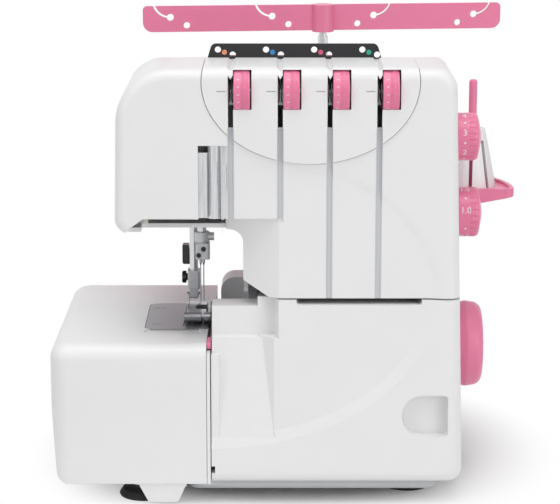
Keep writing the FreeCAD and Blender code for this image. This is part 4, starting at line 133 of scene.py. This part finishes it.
class Finish(NodeTree):
    """A procedural material on one Principled shader."""

    def __init__(self, name, colour, roughness, **sockets):
        self.name = name
        self.colour = colour
        self.roughness = roughness
        self.material = bpy.data.materials.new(name + "_look")
        self.material.use_nodes = True
        super().__init__(self.material.node_tree)
        self.shader = self.tree.nodes["Principled BSDF"]
        self.shader.inputs["Base Color"].default_value = (*colour, 1)
        self.shader.inputs["Roughness"].default_value = roughness
        for socket, number in sockets.items():
            self.shader.inputs[socket.replace("_", " ")].default_value = number
        self.place = self.node("ShaderNodeTexCoord", {}, {}, "Object")

    def noise(self, scale, detail, place=None):
        return self.node("ShaderNodeTexNoise", {}, {"Vector": place or self.place, "Scale": scale,
                                                    "Detail": detail}, "Fac")

    def vary(self, pattern, span, darker, rougher):
        """Tone and gloss that follow a pattern, and the tone darkens over a span of it."""
        dark = tuple(channel * darker for channel in self.colour)
        tone = self.node("ShaderNodeMix", {"data_type": "RGBA"},
                         {0: pattern.eased(*span), 6: (*self.colour, 1), 7: (*dark, 1)}, 2)
        self.feed(self.shader, "Base Color", tone)
        self.feed(self.shader, "Roughness", pattern * rougher + (self.roughness - rougher / 2))

    def mottle(self, scale, darker, rougher):
        """Slow changes of tone and gloss, as a moulded or cast surface shows."""
        self.vary(self.noise(scale, detail=3.0), CLOUD_SPAN, darker, rougher)

    def bump(self, height, strength, distance):
        """Bump from a height, with the node that softens sharp edges behind it."""
        soft = self.node("ShaderNodeBevel", {"samples": 4}, {"Radius": SOFT_EDGE})
        raised = self.node("ShaderNodeBump", {}, {"Height": height, "Strength": strength,
                                                  "Distance": distance, "Normal": soft})
        self.feed(self.shader, "Normal", raised)


def srgb(red, green, blue):
    """Linear colour from the 0 to 255 values that a screen shows."""
    return tuple(((v / 255 + 0.055) / 1.055) ** 2.4 for v in (red, green, blue))


# Finishes
def moulded(name, colour, roughness, grain, **sockets):
    """Injection-moulded plastic, or satin metal: slow gloss changes and a very fine skin."""
    finish = Finish(name, colour, roughness, **sockets)
    finish.mottle(scale=18.0, darker=0.985, rougher=0.06)
    finish.bump(finish.noise(1400.0, detail=1.0), strength=grain, distance=0.05 * MM)
    return finish


def drawn_metal(name, colour, roughness, along, depth=0.06):
    """Metal with fine lines along one axis: 0, 1 or 2 for X, Y or Z."""
    finish = Finish(name, colour, roughness, Metallic=1.0)
    scale = [900.0, 900.0, 900.0]
    scale[along] = 30.0
    stretched = finish.node("ShaderNodeMapping", {}, {"Vector": finish.place, "Scale": scale})
    lines = finish.noise(1.0, detail=3.0, place=stretched)
    finish.vary(lines, LINE_SPAN, darker=0.82, rougher=0.16)
    finish.bump(lines, strength=depth, distance=0.04 * MM)
    return finish


def cast_metal(name, colour, roughness, grit=520.0):
    """Cast or sintered metal with a gritty skin."""
    finish = Finish(name, colour, roughness, Metallic=0.3)
    finish.mottle(scale=40.0, darker=0.85, rougher=0.12)
    finish.bump(finish.noise(grit, detail=3.0), strength=0.25, distance=0.12 * MM)
    return finish


def rubber(name, colour):
    """Dull rubber with a coarse skin."""
    finish = Finish(name, colour, roughness=0.7)
    finish.mottle(scale=60.0, darker=0.7, rougher=0.2)
    finish.bump(finish.noise(900.0, detail=2.0), strength=0.3, distance=0.08 * MM)
    return finish


def ink(name, colour, roughness, scale, darker):
    """Printed colour with small changes of tone."""
    finish = Finish(name, colour, roughness)
    finish.mottle(scale, darker, rougher=0.1)
    return finish


FINISHES = {finish.name: finish for finish in (
    moulded("white_shell", (0.83, 0.83, 0.835), roughness=0.36, grain=0.03,
            Specular_IOR_Level=0.32),
    moulded("pink_plastic", srgb(232, 126, 162), roughness=0.36, grain=0.05),
    moulded("grey_plastic", srgb(204, 205, 208), roughness=0.42, grain=0.05),
    moulded("black_plastic", (0.012, 0.012, 0.014), roughness=0.22, grain=0.03),
    moulded("lamp_cover", srgb(238, 236, 226), roughness=0.3, grain=0.05),
    rubber("feet_rubber", (0.018, 0.018, 0.02)),
    rubber("belt_rubber", (0.024, 0.023, 0.022)),
    drawn_metal("polished_steel", srgb(214, 215, 217), roughness=0.16, along=2, depth=0.02),
    drawn_metal("plain_steel", srgb(188, 189, 192), roughness=0.3, along=0),
    drawn_metal("dark_steel", srgb(98, 98, 102), roughness=0.34, along=1),
    cast_metal("cast_alloy", srgb(214, 215, 218), roughness=0.52),
    cast_metal("bronze", srgb(170, 128, 78), roughness=0.36, grit=900.0),
    cast_metal("motor_case", srgb(120, 122, 126), roughness=0.46),
    moulded("plate_steel", srgb(164, 165, 168), roughness=0.42, grain=0.1, Metallic=0.35),
    moulded("satin_steel", srgb(212, 213, 215), roughness=0.36, grain=0.1, Metallic=0.35))}
OTHER_FINISH = {"stitch_plate": "plate_steel", "foot_holder": "satin_steel",
                "needle_clamp": "satin_steel", "clamp_screws": "black_plastic"}
white_ink = ink("white_ink", (0.86, 0.86, 0.86), roughness=0.5, scale=300.0, darker=0.94)
grey_ink = ink("grey_ink", srgb(158, 158, 160), roughness=0.5, scale=300.0, darker=0.9)
dark_ink = ink("dark_ink", srgb(74, 74, 78), roughness=0.5, scale=300.0, darker=0.8)


# Dressing the CAD pieces, with a finer crease on broad faces in low relief
SHALLOW = {"looper_cover"}
WELD = 0.002 * MM
SLIVER = 0.0005 * MM
FLAT = math.radians(0.1)
CREASE = math.radians(28.0)
SHALLOW_CREASE = math.radians(4.0)
BROAD_FACE = 200 * MM * MM


def dress(name, finish):
    """A merged copy of a CAD piece with smooth round faces and even shading on its flat ones."""
    shallow = name in SHALLOW
    mesh = nodes[name].data.copy()
    mesh.name = name + "_skin"
    shape = bmesh.new()
    shape.from_mesh(mesh)
    bmesh.ops.remove_doubles(shape, verts=shape.verts, dist=WELD)
    bmesh.ops.dissolve_degenerate(shape, edges=shape.edges, dist=SLIVER)
    if shallow:
        bmesh.ops.dissolve_limit(shape, angle_limit=FLAT, verts=shape.verts, edges=shape.edges)
    for face in shape.faces:
        face.smooth = True
    for edge in shape.edges:
        broad = shallow and max(face.calc_area() for face in edge.link_faces) > BROAD_FACE
        edge.smooth = edge.calc_face_angle(0.0) < (SHALLOW_CREASE if broad else CREASE)
    shape.to_mesh(mesh)
    shape.free()
    mesh.materials.clear()
    mesh.materials.append(finish.material)
    skin = bpy.data.objects.new(name + "_skin", mesh)
    scene.collection.objects.link(skin)
    even = skin.modifiers.new("even", "WEIGHTED_NORMAL")
    even.keep_sharp = True
    return skin


slots = {piece["node"]: piece["material_slot"] for piece in frame["record"]["subparts"]}
skins = {name: dress(name, FINISHES[OTHER_FINISH.get(name, slot)]) for name, slot in slots.items()}
graph = bpy.context.evaluated_depsgraph_get()
for name, skin in skins.items():
    shaded = bpy.data.meshes.new_from_object(skin.evaluated_get(graph))
    skin.modifiers.clear()
    skin.data = shaded
    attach(skin, nodes[name]["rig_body"])
    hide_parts(name)


# New pieces from meshes
def baked(maker):
    """The plain mesh of an object that was only needed to make it."""
    scene.collection.objects.link(maker)
    ready = maker.evaluated_get(bpy.context.evaluated_depsgraph_get())
    mesh = bpy.data.meshes.new_from_object(ready)
    bpy.data.objects.remove(maker)
    return mesh


def fitted(name, mesh, finish, body):
    """A finished mesh as a piece on its body."""
    mesh.materials.clear()
    mesh.materials.append(finish.material)
    piece = bpy.data.objects.new(name, mesh)
    scene.collection.objects.link(piece)
    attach(piece, body)


def mesh_from(name, shape):
    """A new mesh from a shape, which is then freed."""
    mesh = bpy.data.meshes.new(name)
    shape.to_mesh(mesh)
    shape.free()
    return mesh


def middle_of(node):
    """The middle of a piece's box."""
    return [(low + high) / 2 for low, high in zip(*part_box(node))]


# Numbers and dots round the dials
SIZE_PER_HEIGHT = 1.42
LETTER_WELD = 0.001 * MM
BAND = 0.4 * MM
BANDS = range(-6, 7)
NUMBER_PROUD = 0.04 * MM
TENSION_MARKS = [(str(n), 17.5 - 20 * (n - 4)) for n in range(10)]
STITCH_MARKS = [("1", -82), ("•", -57), ("2", -32), ("•", -7), ("3", 18), ("•", 43), ("4", 68)]
FEED_MARKS = [("0.5", -62), ("•", -32), ("1.0", 14), ("•", 43), ("1.5", 73), ("•", 102),
              ("2.0", 132)]
TENSION_NUMBER = 1.7 * MM
TENSION_INSET = 3.1 * MM
SIDE_DIALS = {"stitch_length_dial": (STITCH_MARKS, 16.0 * MM),
              "differential_dial": (FEED_MARKS, 16.7 * MM)}
SIDE_NUMBER = 4.2 * MM
SIDE_INSET = 11.6 * MM


def printed(words, height, turn):
    """Flat lettering of one height about the origin, cut into bands so that it can bend."""
    curve = bpy.data.curves.new("lettering", "FONT")
    curve.body = words
    curve.size = height * SIZE_PER_HEIGHT
    curve.align_x = "CENTER"
    curve.align_y = "CENTER"
    curve.resolution_u = 3
    mesh = baked(bpy.data.objects.new("lettering", curve))
    mesh.transform(Matrix.Rotation(turn, 4, "Z"))
    shape = bmesh.new()
    shape.from_mesh(mesh)
    bmesh.ops.remove_doubles(shape, verts=shape.verts, dist=LETTER_WELD)
    for level in BANDS:
        bmesh.ops.bisect_plane(shape, geom=shape.verts[:] + shape.edges[:] + shape.faces[:],
                               plane_co=(0, level * BAND, 0), plane_no=(0, 1, 0))
    return shape


def rim_scale(dial, marks, across, radius, height, turn=0.0):
    """Numbers and dots round a dial's rim, at degrees that are 0 at the front and grow upwards."""
    _, y, z = middle_of(dial)
    reach = radius + NUMBER_PROUD
    scale = bmesh.new()
    for words, degrees in marks:
        lettering = printed(words, height, turn)
        for vert in lettering.verts:
            angle = math.radians(degrees) + vert.co.y / reach
            vert.co = (across + vert.co.x, y - reach * math.cos(angle), z + reach * math.sin(angle))
        scale.from_mesh(mesh_from("lettering", lettering))
    fitted(dial + "_scale", mesh_from(dial + "_scale", scale), white_ink, dial)


for dial in TENSION_DIALS:
    low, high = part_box(dial)
    rim_scale(dial, TENSION_MARKS, low.x + TENSION_INSET, (high.z - low.z) / 2, TENSION_NUMBER,
              turn=math.radians(90))
for dial, (marks, radius) in SIDE_DIALS.items():
    rim_scale(dial, marks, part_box(dial)[1].x - SIDE_INSET, radius, SIDE_NUMBER)


# Ribs round the tension dials, grown by geometry nodes
class Grower(NodeTree):
    """A geometry node tree with named size inputs, grown once into a plain mesh."""

    def __init__(self, name, sizes):
        super().__init__(bpy.data.node_groups.new(name, "GeometryNodeTree"))
        self.name = name
        self.values = {}
        sockets = self.tree.interface
        sockets.new_socket("Geometry", in_out="OUTPUT", socket_type="NodeSocketGeometry")
        for size, value in sizes.items():
            kind = "NodeSocketInt" if isinstance(value, int) else "NodeSocketFloat"
            socket = sockets.new_socket(size, in_out="INPUT", socket_type=kind)
            self.values[socket.identifier] = value
        self.given = self.tree.nodes.new("NodeGroupInput")
        self.taken = self.tree.nodes.new("NodeGroupOutput")

    def size(self, name):
        return Value(self, self.given.outputs[name])

    def grow(self, shape, finish, body):
        """Realizes the tree's result and leaves it as a plain piece on a body."""
        real = self.node("GeometryNodeRealizeInstances", {}, {"Geometry": shape})
        coated = self.node("GeometryNodeSetMaterial", {}, {"Geometry": real,
                                                           "Material": finish.material})
        self.feed(self.taken, 0, coated)
        seed = bpy.data.objects.new(self.name, bpy.data.meshes.new(self.name + "_seed"))
        grown = seed.modifiers.new("grow", "NODES")
        grown.node_group = self.tree
        for identifier, value in self.values.items():
            grown[identifier] = value
        fitted(self.name, baked(seed), finish, body)


RIBS = {"Count": 88, "Radius": 14.42 * MM, "Length": 4.6 * MM, "Width": 0.5 * MM}
RIB_START = 4.9 * MM


def rim_ribs(dial, finish):
    """Fine round ribs along X, partly sunk in a dial's rim."""
    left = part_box(dial)[0].x
    _, y, z = middle_of(dial)
    middle = (left + RIB_START + RIBS["Length"] / 2, y, z)
    ribs = Grower(dial + "_ribs", RIBS)
    ring = ribs.node("GeometryNodeMeshCircle", {}, {"Vertices": ribs.size("Count"),
                                                    "Radius": ribs.size("Radius")})
    rib = ribs.node("GeometryNodeMeshCylinder", {}, {"Vertices": 6, "Depth": ribs.size("Length"),
                                                     "Radius": ribs.size("Width") * 0.5})
    smooth = ribs.node("GeometryNodeSetShadeSmooth", {}, {"Geometry": rib})
    placed = ribs.node("GeometryNodeInstanceOnPoints", {}, {"Points": ring, "Instance": smooth})
    turned = ribs.node("GeometryNodeTransform", {}, {"Geometry": placed, "Translation": middle,
                                                     "Rotation": (0, math.pi / 2, 0)})
    ribs.grow(turned, finish, dial)


for dial in TENSION_DIALS:
    rim_ribs(dial, FINISHES["pink_plastic"])


# Pointers by the dials, ticks on the stitch plate and dots on the thread guide plate
INK_SUNK = 0.3 * MM
POINTER_PROUD = 0.06 * MM
POINTER_ABOVE = 1.0 * MM
POINTER_REACH = 11.0 * MM
POINTER_GAP = 5.2 * MM
POINTER_HALF = 0.3 * MM
TICK_PROUD = 0.05 * MM
TICK_ROWS = (61.5 * MM, 106.5 * MM)
TICKS = 4
TICK_START = 4.5 * MM
TICK_STEP = 2.0 * MM
TICK_WIDTH = 0.5 * MM
TICK_HALF = 1.6 * MM
DOT_PROUD = 0.1 * MM
DOT_DEPTH = 0.24 * MM
DOT_RADIUS = 1.75 * MM
DOT_TAPER = 0.86
DOT_LEVEL = 300.5 * MM
SLOT_FROM_DIAL = 2.4 * MM
DOT_FROM_SLOT = 4.8 * MM
THREAD_COLOURS = {"orange": (238, 150, 118), "blue": (58, 138, 202),
                  "red": (214, 92, 126), "green": (44, 172, 140)}


def add_bar(shape, low, high):
    """Adds a thin flat bar between two corners."""
    low, high = Vector(low), Vector(high)
    spread = Matrix.Diagonal((*(high - low), 1))
    bmesh.ops.create_cube(shape, size=1.0, matrix=Matrix.Translation((low + high) / 2) @ spread)


def dot(name, place, finish):
    """A flat round mark with a soft edge, facing the front."""
    shape = bmesh.new()
    facing = Matrix.Translation(place) @ Matrix.Rotation(math.pi / 2, 4, "X")
    bmesh.ops.create_cone(shape, cap_ends=True, segments=28, radius1=DOT_RADIUS,
                          radius2=DOT_RADIUS * DOT_TAPER, depth=DOT_DEPTH, matrix=facing)
    fitted(name, mesh_from(name, shape), finish, "machine")


panel_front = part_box("tension_panel")[0].y
pointers = bmesh.new()
for dial in TENSION_DIALS:
    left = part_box(dial)[0].x
    level = middle_of(dial)[2] + POINTER_ABOVE
    add_bar(pointers, (left - POINTER_REACH, panel_front - POINTER_PROUD, level - POINTER_HALF),
            (left - POINTER_GAP, panel_front + INK_SUNK, level + POINTER_HALF))
fitted("pointers", mesh_from("pointers", pointers), grey_ink, "machine")

plate_low, plate_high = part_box("stitch_plate")
ticks = bmesh.new()
for back in TICK_ROWS:
    y = cad_box[0][1] + back
    for step in range(TICKS):
        x = plate_low.x + TICK_START + TICK_STEP * step
        add_bar(ticks, (x, y - TICK_HALF, plate_high.z - INK_SUNK),
                (x + TICK_WIDTH, y + TICK_HALF, plate_high.z + TICK_PROUD))
fitted("plate_ticks", mesh_from("plate_ticks", ticks), dark_ink, "machine")

plate_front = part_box("thread_guide_plate")[0].y
for dial, (word, colour) in zip(TENSION_DIALS, THREAD_COLOURS.items()):
    paint = ink(word + "_mark", srgb(*colour), roughness=0.45, scale=500.0, darker=0.88)
    slot_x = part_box(dial)[0].x - SLOT_FROM_DIAL
    dot(word + "_mark", (slot_x - DOT_FROM_SLOT, plate_front - DOT_PROUD, DOT_LEVEL), paint)


# Camera, floor and light
EYE = (-0.009, -1.44275, 0.4746)
LENS = 131.98
SENSOR = 36.0
PITCH_DOWN = 12.76
AIM = Vector((0, 0, 0.15))
WORLD_LEVEL = 0.32
FLOOR_RADIUS = 4.0
SHADOW_ENDS = (0.1, 0.2)
SOFT_BOXES = {"overhead": ((-0.2, -0.5, 1.9), (1.6, 1.2), 20),
              "front_left": ((-1.3, -1.2, 0.9), (0.9, 1.3), 4.5),
              "front_right": ((1.2, -1.3, 0.7), (0.9, 1.3), 9)}


def set_camera():
    """The photograph's viewing angle."""
    camera = bpy.data.cameras.new("camera")
    camera.lens = LENS
    camera.sensor_width = SENSOR
    camera.clip_end = 20.0
    eye = bpy.data.objects.new("camera", camera)
    eye.location = EYE
    eye.rotation_euler = (math.radians(90 - PITCH_DOWN), 0, 0)
    scene.collection.objects.link(eye)
    scene.camera = eye


def soft_box(name, place, size, watts):
    """A wide lamp that faces the object."""
    lamp = bpy.data.lights.new(name, "AREA")
    lamp.shape = "RECTANGLE"
    lamp.size, lamp.size_y = size
    lamp.energy = watts
    box = bpy.data.objects.new(name, lamp)
    box.location = place
    box.rotation_euler = (AIM - Vector(place)).to_track_quat("-Z", "Y").to_euler()
    scene.collection.objects.link(box)


def pale_world():
    """White to the camera and in reflections, and a plain even light on the object."""
    world = bpy.data.worlds.new("studio")
    scene.world = world
    world.use_nodes = True
    sky = NodeTree(world.node_tree)
    seen = sky.node("ShaderNodeLightPath", {}, {}, "Is Camera Ray")
    for kind in ("Is Glossy Ray", "Is Transmission Ray"):
        seen = seen.math("MAXIMUM", sky.node("ShaderNodeLightPath", {}, {}, kind))
    level = sky.node("ShaderNodeMapRange", {},
                     {"Value": seen, "To Min": WORLD_LEVEL, "To Max": 1.0}, "Result")
    back = sky.tree.nodes["Background"]
    back.inputs["Color"].default_value = (1, 1, 1, 1)
    sky.feed(back, "Strength", level)


def pale_floor():
    """A wide round sheet that keeps the shadow near the object and fades into the white."""
    shape = bmesh.new()
    bmesh.ops.create_circle(shape, cap_ends=True, segments=96, radius=FLOOR_RADIUS)
    floor = bpy.data.objects.new("floor", mesh_from("floor", shape))
    floor.location.z = cad_box[0][2]
    scene.collection.objects.link(floor)
    paper = Finish("paper", (0.9, 0.9, 0.9), roughness=0.9)
    camera, glossy = (paper.node("ShaderNodeLightPath", {}, {}, kind)
                      for kind in ("Is Camera Ray", "Is Glossy Ray"))
    reach = paper.node("ShaderNodeVectorMath", {"operation": "LENGTH"}, {0: paper.place}, "Value")
    glow = paper.node("ShaderNodeEmission", {}, {"Color": (1, 1, 1, 1), "Strength": 1.0})
    sheet = Value(paper, paper.shader.outputs[0])
    faded = reach.eased(*SHADOW_ENDS) * (camera + glossy)
    mixed = paper.node("ShaderNodeMixShader", {}, {0: faded, 1: sheet, 2: glow})
    paper.feed(paper.tree.nodes["Material Output"], "Surface", mixed)
    floor.data.materials.append(paper.material)


set_camera()
pale_world()
pale_floor()
for name, (place, size, watts) in SOFT_BOXES.items():
    soft_box(name, place, size, watts)
scene.view_settings.view_transform = "Standard"
